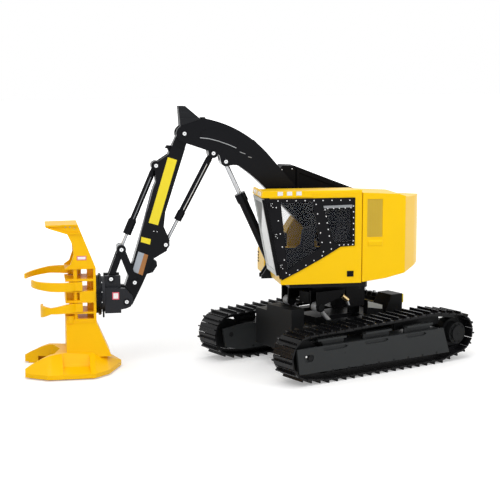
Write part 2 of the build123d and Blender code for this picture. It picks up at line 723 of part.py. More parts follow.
def hood():
    """Engine housing behind the cab, its tail cut round to the swing radius."""
    front = CAB_REAR - HOOD_GAP
    half = CAB_LEFT
    plan = make_face([
        Line((front, half), (-32, half)),
        Line((-32, half), (-41.5, 32)),
        ThreePointArc((-41.5, 32), (-51, 0), (-41.5, -32)),
        Line((-41.5, -32), (-32, -half)),
        Line((-32, -half), (front, -half)),
        Line((front, -half), (front, half)),
    ])
    body = extrude(Pos(0, 0, DECK_HIGH) * plan, HOOD_HIGH - DECK_HIGH)
    low = [(front, 57.5), (-19.8, 59.5), (-32.5, 62.7), (-52, 66.5)]
    high_top = [(-52, HOOD_HIGH - 4.4), (-35, HOOD_HIGH - 3.4), (-28, HOOD_HIGH - 1.2), (front, HOOD_HIGH)]
    right_top = [(-52, HOOD_RIGHT_HIGH - 2), (-40, HOOD_RIGHT_HIGH), (front, HOOD_RIGHT_HIGH)]
    shape = prism(low + high_top, CAB_RIGHT, half) + prism(low + right_top, -half, CAB_RIGHT + 0.5)
    body = body & shape
    # the deck and boom foot run under it
    body -= block((-45, -31, DECK_HIGH - 1), (0, 45, DECK_HIGH + 0.5))
    rear, ahead, bottom, top = VENT
    body -= block((rear, half - VENT_DEEP, bottom), (ahead, half, top))
    # handle lip under the vent
    lip = Plane(origin=(rear, 0, 0), x_dir=(0, 1, 0), z_dir=(1, 0, 0))
    section = Polyline(
        (half - 0.5, bottom - 2), (half, bottom - 2), (half + 0.8, bottom - 2.8), (half + 0.5, bottom - 5.2),
        (half, bottom - 5.6), (half - 0.5, bottom - 5.6), close=True,
    )
    body += extrude(lip * make_face(section), ahead - rear - 0.6)
    return body


def vent_screen():
    """Slatted screen seated in the hood's vent."""
    rear, ahead, bottom, top = VENT
    floor = CAB_LEFT - VENT_DEEP
    gap = SEAT_GAP
    screen = block((rear + gap, floor, bottom + gap), (ahead - gap, floor + 0.3, top - gap))
    slats = 9
    pitch = (ahead - rear) / (slats + 1)
    for number in range(1, slats + 1):
        x = rear + pitch * number
        screen += block((x - 0.2, floor, bottom + 0.5), (x + 0.2, floor + 0.6, top - 0.5))
    return screen


def right_box():
    """Low box at the right front of the deck, its front edge sloped."""
    outline = [(6, 52), (42.6, 52), (43.6, 53), (43.6, 67.5), (42.2, 69), (6, 69)]
    return prism(outline, -CAB_LEFT, -20.5)


def boom_guard():
    """Black housing beside the boom foot, its top running back over the hood."""
    rear = CAB_REAR - HOOD_GAP
    seat = HOOD_RIGHT_HIGH + SEAT_GAP
    outline = [
        (4, 71.3), (30, 71.3), (36.5, 108), (36.5, 121), (33.5, 125.4), (25.3, 125), (2, 116), (-18, 108.4),
        (-18, seat), (rear + SEAT_GAP, seat), (rear + SEAT_GAP, 71.3),
    ]
    left = -11
    guard = prism(outline, -26, left)
    # groove behind the cheek and sunk panel in the left side
    guard -= prism([(24.2, 106), (24.2, 126), (25.4, 126), (25.4, 106)], left - 1.2, left)
    return guard - prism([(22.6, 106), (22.6, 120.4), (2, 112.4), (-14, 106.2)], left - 0.6, left)


# Boom and its cylinder
def boom():
    """Curved boom with a forked tip and lugs under its belly."""
    profile = [
        Line((101.5, 151.8), (86.7, 156.6)),
        ThreePointArc((86.7, 156.6), (66.6, 149.8), (45.4, 133.1)),
        Line((45.4, 133.1), (-0.5, 79.5)),
        Line((-0.5, 79.5), (8.0, 72.0)),
        Line((8.0, 72.0), (48.3, 112.8)),
        ThreePointArc((48.3, 112.8), (66.3, 127.6), (86.1, 137.1)),
        Line((86.1, 137.1), (100.0, 141.8)),
        Line((100.0, 141.8), (101.5, 151.8)),
    ]
    body = prism(profile, -BOOM_HALF, BOOM_HALF)
    # raised stiffening panels
    panel = [
        ThreePointArc((88.5, 144.3), (78.9, 142.8), (66.9, 138.4)),
        Line((66.9, 138.4), (65.3, 141.5)),
        ThreePointArc((65.3, 141.5), (78.5, 150.2), (88.7, 148.2)),
        Line((88.7, 148.2), (88.5, 144.3)),
    ]
    body += both_sides(prism(panel, BOOM_HALF, BOOM_HALF + 0.5))
    body += disc(TIP, 5.2, -BOOM_HALF, BOOM_HALF)
    body += disc(FOOT, 5.4, -BOOM_HALF, BOOM_HALF)
    half = EYE_HALF + SIDE_GAP
    # columns: pin, room round its eye, outline of the lug from the pin
    lugs = (
        (BOOM_CYL_EYE, BOOM_PLAY, ((-7.4, -2.4), (-7, 4), (6, 8), (3.9, 3.4), (3.2, 0), (0.8, -2.9), (-4.6, -2.2))),
        (STICK_CYL_FOOT, 0.8, ((-7, 4), (6, 8), (2.8, 0), (-2.8, 0))),
    )
    for at, play, corners in lugs:
        lug = [(at[0] + x, at[1] + z) for x, z in corners]
        body += prism(lug, -BOOM_HALF, BOOM_HALF)
        body += disc(at, 3.0, -BOOM_HALF, BOOM_HALF)
        body -= disc(at, ARM_PIN_R + SEAT_GAP, -BOOM_HALF, BOOM_HALF)
        body -= disc(at, ARM_PIN_R + EYE_WALL + play, -half, half)
    body -= prism([(89, 138), (89, 152), (108, 156), (108, 136)], -FORK_HALF, FORK_HALF)
    body -= disc(TIP, 7.5, -FORK_HALF, FORK_HALF)
    body -= disc(TIP, ARM_PIN_R + SEAT_GAP, -BOOM_HALF, BOOM_HALF)
    body -= disc(FOOT, ARM_PIN_R + 0.6 + PIN_GAP, -BOOM_HALF, BOOM_HALF)
    return body


def boom_horn():
    """Stepped plate guard on top of the boom's tip."""
    outline = [(TIP[0] + x, TIP[1] + z) for x, z in ((3.5, 17), (-0.8, 17), (-10.4, 8.82), (2.5, 4.64))]
    horn = prism(outline, 1.6 - BOOM_HALF, BOOM_HALF - 1.6)
    # columns: top of the step over the boom's tip, how far it stands inside the boom's side
    for top, inset in ((13.3, 0.9), (9.2, 0)):
        half = BOOM_HALF - inset
        step = block((TIP[0] - 19, -half, TIP[1] + 2.8), (TIP[0] + 11, half, TIP[1] + top))
        horn += prism(outline, -half, half) & step
    return horn


def boom_pins():
    """Pins that the boom carries."""
    waist = (ARM_PIN_R + PIN_GAP - BOOM_PLAY, EYE_HALF + SIDE_GAP)
    pins = [pin(at, ARM_PIN_R, BOOM_HALF) for at in (TIP, STICK_CYL_FOOT)]
    pins.append(pin(BOOM_CYL_EYE, ARM_PIN_R, BOOM_HALF, waist=waist))
    return Compound(pins)


def deck_pins():
    """Pins of the boom's foot and of its cylinder's foot."""
    return Compound([
        pin(FOOT, ARM_PIN_R + 0.6, BOOM_HALF + SIDE_GAP + 2.0),
        pin(BOOM_CYL_FOOT, ARM_PIN_R, EYE_HALF + SIDE_GAP + 1.8),
    ])


# Stick
def stick_point(along, ahead):
    """X, Z of a point by its distance down the stick and ahead of its line."""
    length = math.dist(TIP, WRIST)
    ux, uz = (WRIST[0] - TIP[0]) / length, (WRIST[1] - TIP[1]) / length
    return (TIP[0] + along * ux - ahead * uz, TIP[1] + along * uz + ahead * ux)


def stick():
    """Stick with its cylinder lugs and rocker seat."""
    # columns: distance down the stick, distance ahead of its line
    front = [(-1, 3.8), (12, 4.8), (38, 7.0), (60, 5.4), (88, 3.8), (108, 3.6)]
    rear = [(112, -4.6), (99, -6.2), (80, -7.9), (73, -14.0), (66, -13.6), (59, -7.2), (50, -5.1), (6, -3.6), (-3, -3.0)]
    body = prism([stick_point(*p) for p in front + rear], -STICK_WIDE, STICK_WIDE)
    body += disc(WRIST, 4.6, -STICK_WIDE, STICK_WIDE)
    # box behind the stick and hook ahead of it
    box = [(125, 70.2), (121.3, 70.2), (116.8, 67.2), (116.5, 64.4), (119.3, 60.3), (125, 58.8)]
    body += prism(box, -STICK_WIDE + 1, STICK_WIDE - 1)
    hook = ((9.5, 4), (10.5, 7.6), (12.6, 7.9), (12.2, 6.6), (14.5, 4.5))
    body += prism([stick_point(*p) for p in hook], -1.6, 1.6)
    # narrow the top to enter the boom's fork
    for y in (-10, STICK_HALF):
        body -= disc(TIP, 9.5, y, y + 10 - STICK_HALF)
    body += disc(TIP, 4.2, -STICK_HALF, STICK_HALF)
    half = EYE_HALF + SIDE_GAP
    body -= disc(STICK_CYL_EYE, ARM_PIN_R + EYE_WALL + STICK_PLAY, -half, half)
    body -= prism(swept_slot(STICK_CYL_EYE, STICK_CYL_FOOT, STICK_ROD_R + STICK_PLAY, 16, 8), -half, half)
    body -= disc(STICK_CYL_EYE, ARM_PIN_R + SEAT_GAP, -STICK_WIDE, STICK_WIDE)
    # lugs of the tilt cylinder
    for y in (-STICK_WIDE, half):
        body += prism([stick_point(*p) for p in ((14, 4), (22, 10), (27, 10), (36, 6))], y, y + STICK_WIDE - half)
        body += disc(TILT_CYL_FOOT, 3.0, y, y + STICK_WIDE - half)
    body -= disc(TILT_CYL_FOOT, ARM_PIN_R + SEAT_GAP, -STICK_WIDE, STICK_WIDE)
    body -= disc(TILT_CYL_FOOT, ARM_PIN_R + EYE_WALL + 0.5, -half, half)
    body -= disc(TIP, ARM_PIN_R + PIN_GAP, -STICK_HALF, STICK_HALF)
    body -= disc(ROCKER_PIN, ARM_PIN_R + SEAT_GAP, -STICK_WIDE, STICK_WIDE)
    body -= disc(WRIST, ARM_PIN_R + PIN_GAP, -STICK_WIDE, STICK_WIDE)
    return body


def stick_pins():
    """Pins that the stick carries."""
    waist = (ARM_PIN_R + PIN_GAP - STICK_PLAY, EYE_HALF + SIDE_GAP)
    return Compound([
        pin(STICK_CYL_EYE, ARM_PIN_R, STICK_WIDE, waist=waist),
        pin(TILT_CYL_FOOT, ARM_PIN_R, STICK_WIDE),
        pin(ROCKER_PIN, ARM_PIN_R, STICK_WIDE + SIDE_GAP + EAR + 0.1),
    ])


def arm_link(start, end, radius, holes, y_inner, thick):
    """Pair of flat links with round ends; holes are the two bore radii."""
    length = math.dist(start, end)
    along = ((end[0] - start[0]) / length, (end[1] - start[1]) / length)
    across = (-along[1] * radius * 0.75, along[0] * radius * 0.75)
    outline = [
        (start[0] + across[0], start[1] + across[1]),
        (end[0] + across[0], end[1] + across[1]),
        (end[0] - across[0], end[1] - across[1]),
        (start[0] - across[0], start[1] - across[1]),
    ]
    plate = prism(outline, y_inner, y_inner + thick)
    for at in (start, end):
        plate += disc(at, radius, y_inner, y_inner + thick)
    for at, hole in zip((start, end), holes):
        plate -= disc(at, hole, y_inner, y_inner + thick)
    return plate


def rocker():
    """Two rocker plates from the stick to the tilt cylinder's rod."""
    inner = STICK_WIDE + SIDE_GAP
    plate = arm_link(ROCKER_PIN, TILT_CYL_EYE, 2.9, (ARM_PIN_R + PIN_GAP, ARM_PIN_R + SEAT_GAP), inner, EAR)
    return both_plates(plate)


def both_plates(plate):
    """A plate and its mirror image as separate solids of one node."""
    return Compound([plate, mirror(plate, Plane.XZ)])


def rocker_pin():
    """Pin through the rocker, the links and the rod's eye, thin inside that eye."""
    waist = (ARM_PIN_R + PIN_GAP - TILT_PLAY, EYE_HALF + SIDE_GAP / 2)
    return pin(TILT_CYL_EYE, ARM_PIN_R, STICK_WIDE + SIDE_GAP + EAR + 0.1, waist=waist)


def link():
    """Middle link from the rocker's pin down to the head's bracket."""
    inner = EYE_HALF + SIDE_GAP
    plate = arm_link(TILT_CYL_EYE, LINK_PIN, 2.7, (ARM_PIN_R + PIN_GAP, ARM_PIN_R + PIN_GAP), inner, LINK_THICK)
    return both_plates(plate)


def head_bracket():
    """Bracket between the wrist and the rotator."""
    outer = STICK_WIDE + SIDE_GAP
    back = RING_X - 2.2
    half = 9.5
    body = block((141.5, -half, 38.0), (back, half, 52.2))
    body += block((139.9, -half, 36.2), (back, half, 38.0))
    cheek = [
        (back, 39.6), (back, 52.2), (136.9, 51.4), (132.7, 46.5), (132.2, 42.6), (134.2, 39.9), (136.8, 38.9),
        (141.6, 38.0),
    ]
    body += both_sides(prism(cheek, outer, half))
    # ears of the links' pin
    ear = [(139.9, 51.5), (139.9, 59.4), (back, 59.4), (back, 51.5)]
    body += both_sides(prism(ear, LINK_OUTER + SIDE_GAP, half - 2.4))
    body -= disc(WRIST, 5.0 + 0.3, -outer, outer)
    body -= disc(WRIST, ARM_PIN_R + SEAT_GAP, -12, 12)
    body -= disc(LINK_PIN, ARM_PIN_R + SEAT_GAP, -12, 12)
    body -= disc(LINK_PIN, 3.6, -LINK_OUTER - SIDE_GAP, LINK_OUTER + SIDE_GAP)
    # rotator motor
    axis = Plane(origin=(back, 0, RING_Z), x_dir=(0, 1, 0), z_dir=(1, 0, 0))
    body += extrude(axis * Circle(ROTATOR_R - 2), 2.0)
    return body


def bracket_pins():
    """Pins of the wrist and of the links' lower ends."""
    waist = (ARM_PIN_R + PIN_GAP - LINK_PLAY, LINK_OUTER + SIDE_GAP)
    return Compound([
        pin(WRIST, ARM_PIN_R, 9.5),
        pin(LINK_PIN, ARM_PIN_R, 7.1, waist=waist),
    ])


# Felling head
def rotator_ring():
    """Flanged ring that turns the head on the bracket."""
    axis = Plane(origin=(RING_X, 0, RING_Z), x_dir=(0, 1, 0), z_dir=(1, 0, 0))
    ring = extrude(axis * Circle(ROTATOR_R), 1.5)
    ring += extrude(axis * Circle(ROTATOR_R - 1.2), TOWER_BACK - RING_X)
    return ring


def head_tower():
    """Box with open bays for the arms, under a mast that is open to the front."""
    half = TOWER_HALF
    body = block((TOWER_BACK, -half, TOWER_LOW), (TOWER_FRONT, half, TOWER_HIGH))
    for low, high in BAYS:
        bay = block((TOWER_BACK + TOWER_WALL, -half, low), (TOWER_FRONT, half, high))
        body -= bay - block((TOWER_BACK, -TOWER_WEB, low), (TOWER_BACK + 5, TOWER_WEB, high))
    # pockets in the sides between the arms
    low, high = BAYS[1][1] + TOWER_WALL, BAYS[2][0] - 0.8
    body -= both_sides(block((TOWER_FRONT - 8.7, half - 4, low), (TOWER_FRONT - 0.8, half, high)))
    # knuckles at the foot of the arms' pins
    knuckle = Pos(TOWER_FRONT - 2.6, half - 1.5, TOWER_LOW) * extrude(Circle(2.6), 4.7)
    body += both_sides(knuckle)
    for y in (-ARM_PIVOT_Y, ARM_PIVOT_Y):
        body -= Pos(ARM_PIVOT_X, y, TOWER_LOW) * extrude(Circle(GRAB_PIN_R + SEAT_GAP), TOWER_HIGH - TOWER_LOW)
    mast = prism([(TOWER_BACK + x, TOWER_HIGH + z) for x, z in MAST], -half, half)
    top = MAST[1][1] - TOWER_WALL
    lean = MAST[1][0] * top / MAST[1][1]
    hollow = [(TOWER_WALL + 0.4, 0), (lean + TOWER_WALL + 0.4, top), (MAST[2][0] + 1, top), (MAST[2][0] + 1, 0)]
    inner = half - TOWER_WALL
    mast -= prism([(TOWER_BACK + x, TOWER_HIGH + z) for x, z in hollow], -inner, inner)
    return body + mast


def saw_housing():
    """Low faceted housing with two prongs round the saw, and the skirt up to the tower."""
    sections = []
    for x, edge, ridge_y, ridge_z in HOUSING:
        plane = Plane(origin=(SAW_X + x, 0, 0), x_dir=(0, 1, 0), z_dir=(1, 0, 0))
        right = [(-ridge_y, ridge_z), (-edge, LIP_HIGH), (-edge, LIP_LOW)]
        left = [(edge, LIP_LOW), (edge, LIP_HIGH), (ridge_y, ridge_z)]
        sections.append(plane * make_face(Polyline(*left, *right, close=True)))
    body = loft(sections, ruled=True)
    # stepped flanks between two ribs
    flank = Plane(origin=(SAW_X - 9.4, 0, 0), x_dir=(0, 1, 0), z_dir=(1, 0, 0))
    step = make_face(Polyline((36, LIP_HIGH), (33.4, LIP_HIGH), (20, 5.6), (14.2, 13.3), (36, 14), close=True))
    body -= both_sides(extrude(flank * step, 16.3))
    # skid under the lip
    edge_points = [(SAW_X + row[0], row[1]) for row in HOUSING]
    outline = edge_points + [(x, -y) for x, y in reversed(edge_points)]
    skid = offset(make_face(Polyline(*outline, close=True)), -2.2, kind=Kind.INTERSECTION)
    body += extrude(Pos(0, 0, 0.2) * skid, LIP_LOW - 0.2)
    foot = make_face(Polyline(
        (SAW_X - 23.4, -14.4), (SAW_X + 4.2, -14.4), (SAW_X + 4.2, 14.4), (SAW_X - 23.4, 14.4), close=True,
    ))
    top = make_face(Polyline(
        (TOWER_BACK, -TOWER_HALF), (TOWER_FRONT, -TOWER_HALF), (TOWER_FRONT, TOWER_HALF), (TOWER_BACK, TOWER_HALF),
        close=True,
    ))
    body += loft([Pos(0, 0, 10) * foot, Pos(0, 0, TOWER_LOW - SEAT_GAP) * top])
    # mouth between the prongs
    mouth = [(SAW_X + x, y) for x, y in MOUTH]
    mouth += [(x, -y) for x, y in reversed(mouth[:-1])]
    body -= extrude(make_face(Polyline(*mouth, close=True)), 16)
    # room for the saw and its slots in the prongs
    room = SAW_R + SAW_ROOM
    body -= Pos(SAW_X, 0, 0) * extrude(Circle(room), SAW_Z + 1.6)
    body -= block((SAW_X, -room + 2, 1.5), (SAW_X + 21.5, room - 2, 4.8))
    body -= Pos(SAW_X, 0, 0) * extrude(Circle(SPINDLE_R + PIN_GAP), SAW_Z + 9)
    return body


def saw_disc():
    """Toothed disc under the housing, on its spindle."""
    teeth = 16
    disc_body = Pos(SAW_X, 0, SAW_Z) * Cylinder(SAW_R - 1.5, 1.2)
    for number in range(teeth):
        tooth = Pos(SAW_R - 1.2, 0, 0) * Box(2.4, 2.4, 2.0)
        disc_body += Pos(SAW_X, 0, SAW_Z) * Rot(0, 0, 360 * number / teeth) * tooth
    disc_body += Pos(SAW_X, 0, SAW_Z) * extrude(Circle(SPINDLE_R), 8.5)
    return disc_body


def curved_arm(side, root, middle, tip, reach):
    """Curved arm about an upright pin; root, middle and tip are its low and high Z there."""
    pivot_x, pivot_y = ARM_PIVOT_X, ARM_PIVOT_Y
    bend = TOWER_FRONT + 9.0
    reach += TOWER_FRONT
    low, high = min(root[0], middle[0], tip[0]), max(root[1], middle[1], tip[1])
    blade = make_face([
        ThreePointArc((pivot_x, pivot_y + ARM_EYE_R), (bend, pivot_y + 5.5), (reach, pivot_y - 9)),
        Line((reach, pivot_y - 9), (reach - 1.2, pivot_y - 10)),
        ThreePointArc((reach - 1.2, pivot_y - 10), (bend - 1, pivot_y + 2.9), (pivot_x, pivot_y - 0.5)),
        Line((pivot_x, pivot_y - 0.5), (pivot_x, pivot_y + ARM_EYE_R)),
    ])
    arm = extrude(Pos(0, 0, low) * blade, high - low)
    profile = [
        (pivot_x - 1, root[0]), (TOWER_FRONT, root[0]), (bend, middle[0]), (reach + 1, tip[0]),
        (reach + 1, tip[1]), (bend, middle[1]), (TOWER_FRONT, root[1]), (pivot_x - 1, root[1]),
    ]
    arm = arm & prism(profile, pivot_y - 20, pivot_y + 20)
    # clamp round the pin
    arm += Pos(pivot_x, pivot_y, root[0]) * extrude(Circle(ARM_EYE_R), root[1] - root[0])
    arm += block((pivot_x - 4.3, pivot_y - 2.4, root[0]), (pivot_x + 4, pivot_y + ARM_EYE_R, root[1]))
    arm -= Pos(pivot_x, pivot_y, root[0]) * extrude(Circle(GRAB_PIN_R + PIN_GAP), root[1] - root[0])
    if side < 0:
        arm = mirror(arm, Plane.XZ)
    return arm


def head_pins():
    """Upright pins of the arms."""
    left = Pos(ARM_PIVOT_X, ARM_PIVOT_Y, TOWER_LOW) * extrude(Circle(GRAB_PIN_R), TOWER_HIGH - TOWER_LOW)
    return Compound([left, mirror(left, Plane.XZ)])


for name, side in (("left", 1), ("right", -1)):
    add(f"track_{name}", track(side * GAUGE / 2))
    add(f"track_frame_{name}", track_frame(side))
    add(f"sprocket_{name}", sprocket(side))
    add(f"idler_{name}", idler(side))
    add(f"rollers_{name}", rollers(side))
add("carbody", carbody())
add("front_box", front_box())
add("rear_box", rear_box())
add("rear_bracket", rear_bracket())
add("carbody_pins", carbody_pins())
add("level_frame", level_frame())
add("level_pins", level_pins())
for name, y in (("left", LEVEL_CYL_Y), ("right", -LEVEL_CYL_Y)):
    cylinder = (LEVEL_LOW, LEVEL_TOP, LEVEL_BARREL)
    add(f"level_barrel_{name}", barrel(*cylinder, LEVEL_BARREL_R, LEVEL_ROD_R, LEVEL_PIN_R, LEVEL_COLLAR, y))
    add(f"level_rod_{name}", rod(*cylinder, LEVEL_STROKE, LEVEL_ROD_R, LEVEL_PIN_R, y))
add_upper("deck", deck())
add_upper("deck_pins", deck_pins())
add_upper("cab_shell", cab_shell())
add_upper("cab_roof", cab_roof())
add_upper("brow_lamps", brow_lamps())
add_upper("cab_side_panel", side_panel())
add_upper("cab_glass", cab_glass())
add_upper("cab_seat", cab_seat())
add_upper("cab_door", cab_door())
add_upper("cab_door_glass", door_glass())
add_upper("hood", hood())
add_upper("vent_screen", vent_screen())
add_upper("right_box", right_box())
add_upper("boom_guard", boom_guard())
add_upper("boom", boom())
add_upper("boom_horn", boom_horn())
add_upper("boom_pins", boom_pins())
cylinder = (BOOM_CYL_FOOT, BOOM_CYL_EYE, BOOM_BARREL)
add_upper("boom_barrel", barrel(*cylinder, BOOM_BARREL_R, BOOM_ROD_R, ARM_PIN_R, BOOM_COLLAR))
add_upper("boom_rod", rod(*cylinder, BOOM_STROKE, BOOM_ROD_R, ARM_PIN_R))
add_upper("stick", stick())
add_upper("stick_pins", stick_pins())
cylinder = (STICK_CYL_FOOT, STICK_CYL_EYE, STICK_BARREL)
add_upper("stick_barrel", barrel(*cylinder, STICK_BARREL_R, STICK_ROD_R, ARM_PIN_R, STICK_COLLAR))
add_upper("stick_rod", rod(*cylinder, STICK_STROKE, STICK_ROD_R, ARM_PIN_R))
cylinder = (TILT_CYL_FOOT, TILT_CYL_EYE, TILT_BARREL)
add_upper("tilt_barrel", barrel(*cylinder, TILT_BARREL_R, TILT_ROD_R, ARM_PIN_R, TILT_COLLAR))
add_upper("tilt_rod", rod(*cylinder, TILT_STROKE, TILT_ROD_R, ARM_PIN_R))
add_upper("rocker", rocker())
add_upper("rocker_pin", rocker_pin())
add_upper("link", link())
add_upper("head_bracket", head_bracket())
add_upper("bracket_pins", bracket_pins())
add_upper("rotator_ring", rotator_ring())
add_upper("head_tower", head_tower())
add_upper("saw_housing", saw_housing())
add_upper("saw_disc", saw_disc())
add_upper("head_pins", head_pins())
for name, side, root_low, root_high, middle_low, middle_high, tip_low, tip_high, reach in ARMS:
    arm = curved_arm(side, (root_low, root_high), (middle_low, middle_high), (tip_low, tip_high), reach)
    add_upper(name, arm)

os.makedirs("parts", exist_ok=True)
for name, piece in parts.items():
    export_step(piece, f"parts/{name}.step")
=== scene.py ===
"""Looks of a 1:32 tracked feller buncher: finishes, rounded castings and small fittings around the CAD."""
import json
import math

import bmesh
import bpy
from mathutils import Matrix, Vector


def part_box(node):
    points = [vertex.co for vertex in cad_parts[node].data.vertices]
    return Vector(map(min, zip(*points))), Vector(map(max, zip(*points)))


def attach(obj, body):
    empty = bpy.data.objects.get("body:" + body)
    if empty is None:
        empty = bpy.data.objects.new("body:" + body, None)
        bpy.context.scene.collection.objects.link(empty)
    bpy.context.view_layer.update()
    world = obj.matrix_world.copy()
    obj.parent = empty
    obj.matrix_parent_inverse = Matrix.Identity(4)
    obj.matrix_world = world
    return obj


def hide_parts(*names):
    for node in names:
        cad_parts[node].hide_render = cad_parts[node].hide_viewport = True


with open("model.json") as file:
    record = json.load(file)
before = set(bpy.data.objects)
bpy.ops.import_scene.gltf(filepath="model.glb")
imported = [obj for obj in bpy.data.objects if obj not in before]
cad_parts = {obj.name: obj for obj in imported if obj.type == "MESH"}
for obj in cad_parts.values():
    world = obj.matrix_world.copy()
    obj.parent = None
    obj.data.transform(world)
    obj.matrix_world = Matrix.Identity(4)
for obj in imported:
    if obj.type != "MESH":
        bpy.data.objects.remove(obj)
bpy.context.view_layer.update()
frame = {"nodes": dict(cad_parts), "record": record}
MM = 0.001

# Frames that the pieces are drawn in, in millimetres
SWING = math.radians(-24.67)     # heading of the upper structure over the tracks at rest
IN_TRACKS = Matrix.Scale(MM, 4)
IN_UPPER = Matrix.Rotation(SWING, 4, "Z") @ Matrix.Scale(MM, 4)

BODY_OF = {node: body for body, nodes in frame["record"]["behaviour"]["bodies"].items() for node in nodes}


# Shader maths
class Value:
    """A socket with the arithmetic that the materials use."""

    def __init__(self, nodes, socket):
        self.nodes = nodes
        self.socket = socket

    def math(self, operation, *others, clamp=False):
        node = self.nodes.tree.nodes.new("ShaderNodeMath")
        node.operation = operation
        node.use_clamp = clamp
        for place, value in enumerate((self, *others)):
            self.nodes.feed(node.inputs[place], value)
        return Value(self.nodes, node.outputs[0])

    def __add__(self, other):
        return self.math("ADD", other)

    def __radd__(self, other):
        return self.math("ADD", other)

    def __sub__(self, other):
        return self.math("SUBTRACT", other)

    def __mul__(self, other):
        return self.math("MULTIPLY", other)

    def __truediv__(self, other):
        return self.math("DIVIDE", other)

    def larger(self, other):
        return self.math("MAXIMUM", other)

    def clamp(self):
        return self.math("ADD", 0.0, clamp=True)


class Nodes:
    """The nodes of one material."""

    def __init__(self, name):
        self.material = bpy.data.materials.new(name)
        self.material.use_nodes = True
        self.tree = self.material.node_tree
        self.shader = self.tree.nodes["Principled BSDF"]

    def feed(self, socket, value):
        """Sets a socket to a number or colour, or links it to another's output."""
        if isinstance(value, Value):
            self.tree.links.new(value.socket, socket)
        elif value is not None:
            socket.default_value = value

    def node(self, kind, settings=(), out=0, **inputs):
        """Adds a node: its settings first, then the values or links of its sockets."""
        node = self.tree.nodes.new("ShaderNode" + kind)
        for name, value in dict(settings).items():
            setattr(node, name, value)
        for name, value in inputs.items():
            label = name.replace("_", " ")
            socket = node.inputs[int(name[1:])] if name[1:].isdigit() else node.inputs[label]
            self.feed(socket, value)
        return Value(self, node.outputs[out])

    def object_place(self):
        return self.node("TexCoord", out=3)

    def noise(self, place, scale, detail=4.0, roughness=0.55):
        return self.node("TexNoise", Vector=place, Scale=scale, Detail=detail, Roughness=roughness)

    def mix(self, factor, low, high):
        """A colour between two colours."""
        return self.node(
            "Mix", {"data_type": "RGBA", "clamp_factor": True}, out=2, _0=factor, _6=low, _7=high
        )

    def bump(self, height, strength, distance):
        return self.node("Bump", Strength=strength, Distance=distance, Height=height)

    def surface(self, **inputs):
        """Feeds the surface shader's sockets."""
        for name, value in inputs.items():
            self.feed(self.shader.inputs[name.replace("_", " ")], value)
        return self.material


def colour(red, green, blue):
    """A display colour of 0 to 255 as linear light."""
    linear = []
    for part in (red, green, blue):
        share = part / 255
        linear.append(share / 12.92 if share <= 0.04045 else ((share + 0.055) / 1.055) ** 2.4)
    return (*linear, 1.0)


def darker(base, share):
    return tuple(part * share for part in base[:3]) + (1.0,)


def paint(name, base, roughness, coat, level=0.35, deep=0.85, grain=0.02):
    """Sprayed paint on a casting: peel as strong as grain says, colour drifting down to its share deep."""
    n = Nodes(name)
    place = n.object_place()
    drift = n.noise(place, 28.0)
    peel = n.noise(place, 900.0, detail=2.0)
    fine = n.noise(place, 260.0)
    rough = roughness + (fine - 0.5) * 0.12
    return n.surface(
        Base_Color=n.mix((drift - 0.3) * 1.8, darker(base, deep), base), Roughness=rough.clamp(),
        Normal=n.bump(peel, grain, 0.0002), Coat_Weight=coat, Coat_Roughness=0.06, Specular_IOR_Level=level,
    )


def metal(name, base, roughness):
    """Bare metal with fine turning marks and a few smudges."""
    n = Nodes(name)
    place = n.object_place()
    marks = n.noise(place, 600.0, detail=3.0)
    smudge = n.noise(place, 60.0)
    rough = roughness + (marks - 0.5) * 0.16 + (smudge - 0.5) * 0.1
    return n.surface(
        Base_Color=n.mix(marks, darker(base, 0.8), base), Roughness=rough.clamp(),
        Normal=n.bump(marks, 0.05, 0.0001), Metallic=1.0,
    )


def moulded(name, base, roughness, grain=0.12, level=0.3):
    """Moulded plastic with a fine even texture."""
    n = Nodes(name)
    place = n.object_place()
    skin = n.noise(place, 1400.0, detail=2.0)
    drift = n.noise(place, 40.0)
    rough = roughness + (drift - 0.5) * 0.15
    return n.surface(
        Base_Color=n.mix(drift, darker(base, 0.8), base), Roughness=rough.clamp(),
        Normal=n.bump(skin, grain, 0.0002), Specular_IOR_Level=level,
    )


def label_film(name, base):
    """Printed film, faintly uneven."""
    n = Nodes(name)
    place = n.object_place()
    fade = n.noise(place, 120.0)
    rough = 0.35 + (fade - 0.5) * 0.2
    return n.surface(
        Base_Color=n.mix(fade, darker(base, 0.94), base), Roughness=rough.clamp(), Specular_IOR_Level=0.3,
    )


def window_glass(name, tint, alpha):
    """Clear pane with a faint smear."""
    n = Nodes(name)
    smear = n.noise(n.object_place(), 30.0)
    rough = 0.03 + (smear - 0.4) * 0.04
    seen = alpha + (smear - 0.5) * 0.06
    material = n.surface(
        Base_Color=tint, Roughness=rough.clamp(), Alpha=seen.clamp(), Specular_IOR_Level=0.5,
    )
    material.surface_render_method = "BLENDED"
    return material


# Paints
CAB_YELLOW = paint("cab_yellow_paint", colour(255, 204, 2), 0.32, 0.05, level=0.12, deep=0.94)
HEAD_YELLOW = paint("head_yellow_paint", colour(255, 196, 2), 0.38, 0.05, level=0.12, deep=0.9)
ARM_BLACK = paint("arm_black_paint", colour(16, 17, 21), 0.24, 0.0, level=0.09)
BOX_BLACK = paint("box_black_paint", colour(25, 26, 27), 0.4, 0.0, level=0.09)
PLATE_BLACK = paint("plate_black_paint", colour(48, 50, 51), 0.3, 0.0, level=0.12, grain=0.05)
TRACK_BLACK = paint("track_black_paint", colour(18, 18, 20), 0.26, 0.0, level=0.16, grain=0.06)
VENT_TAN = paint("vent_tan_paint", colour(222, 190, 70), 0.45, 0.0, level=0.15)
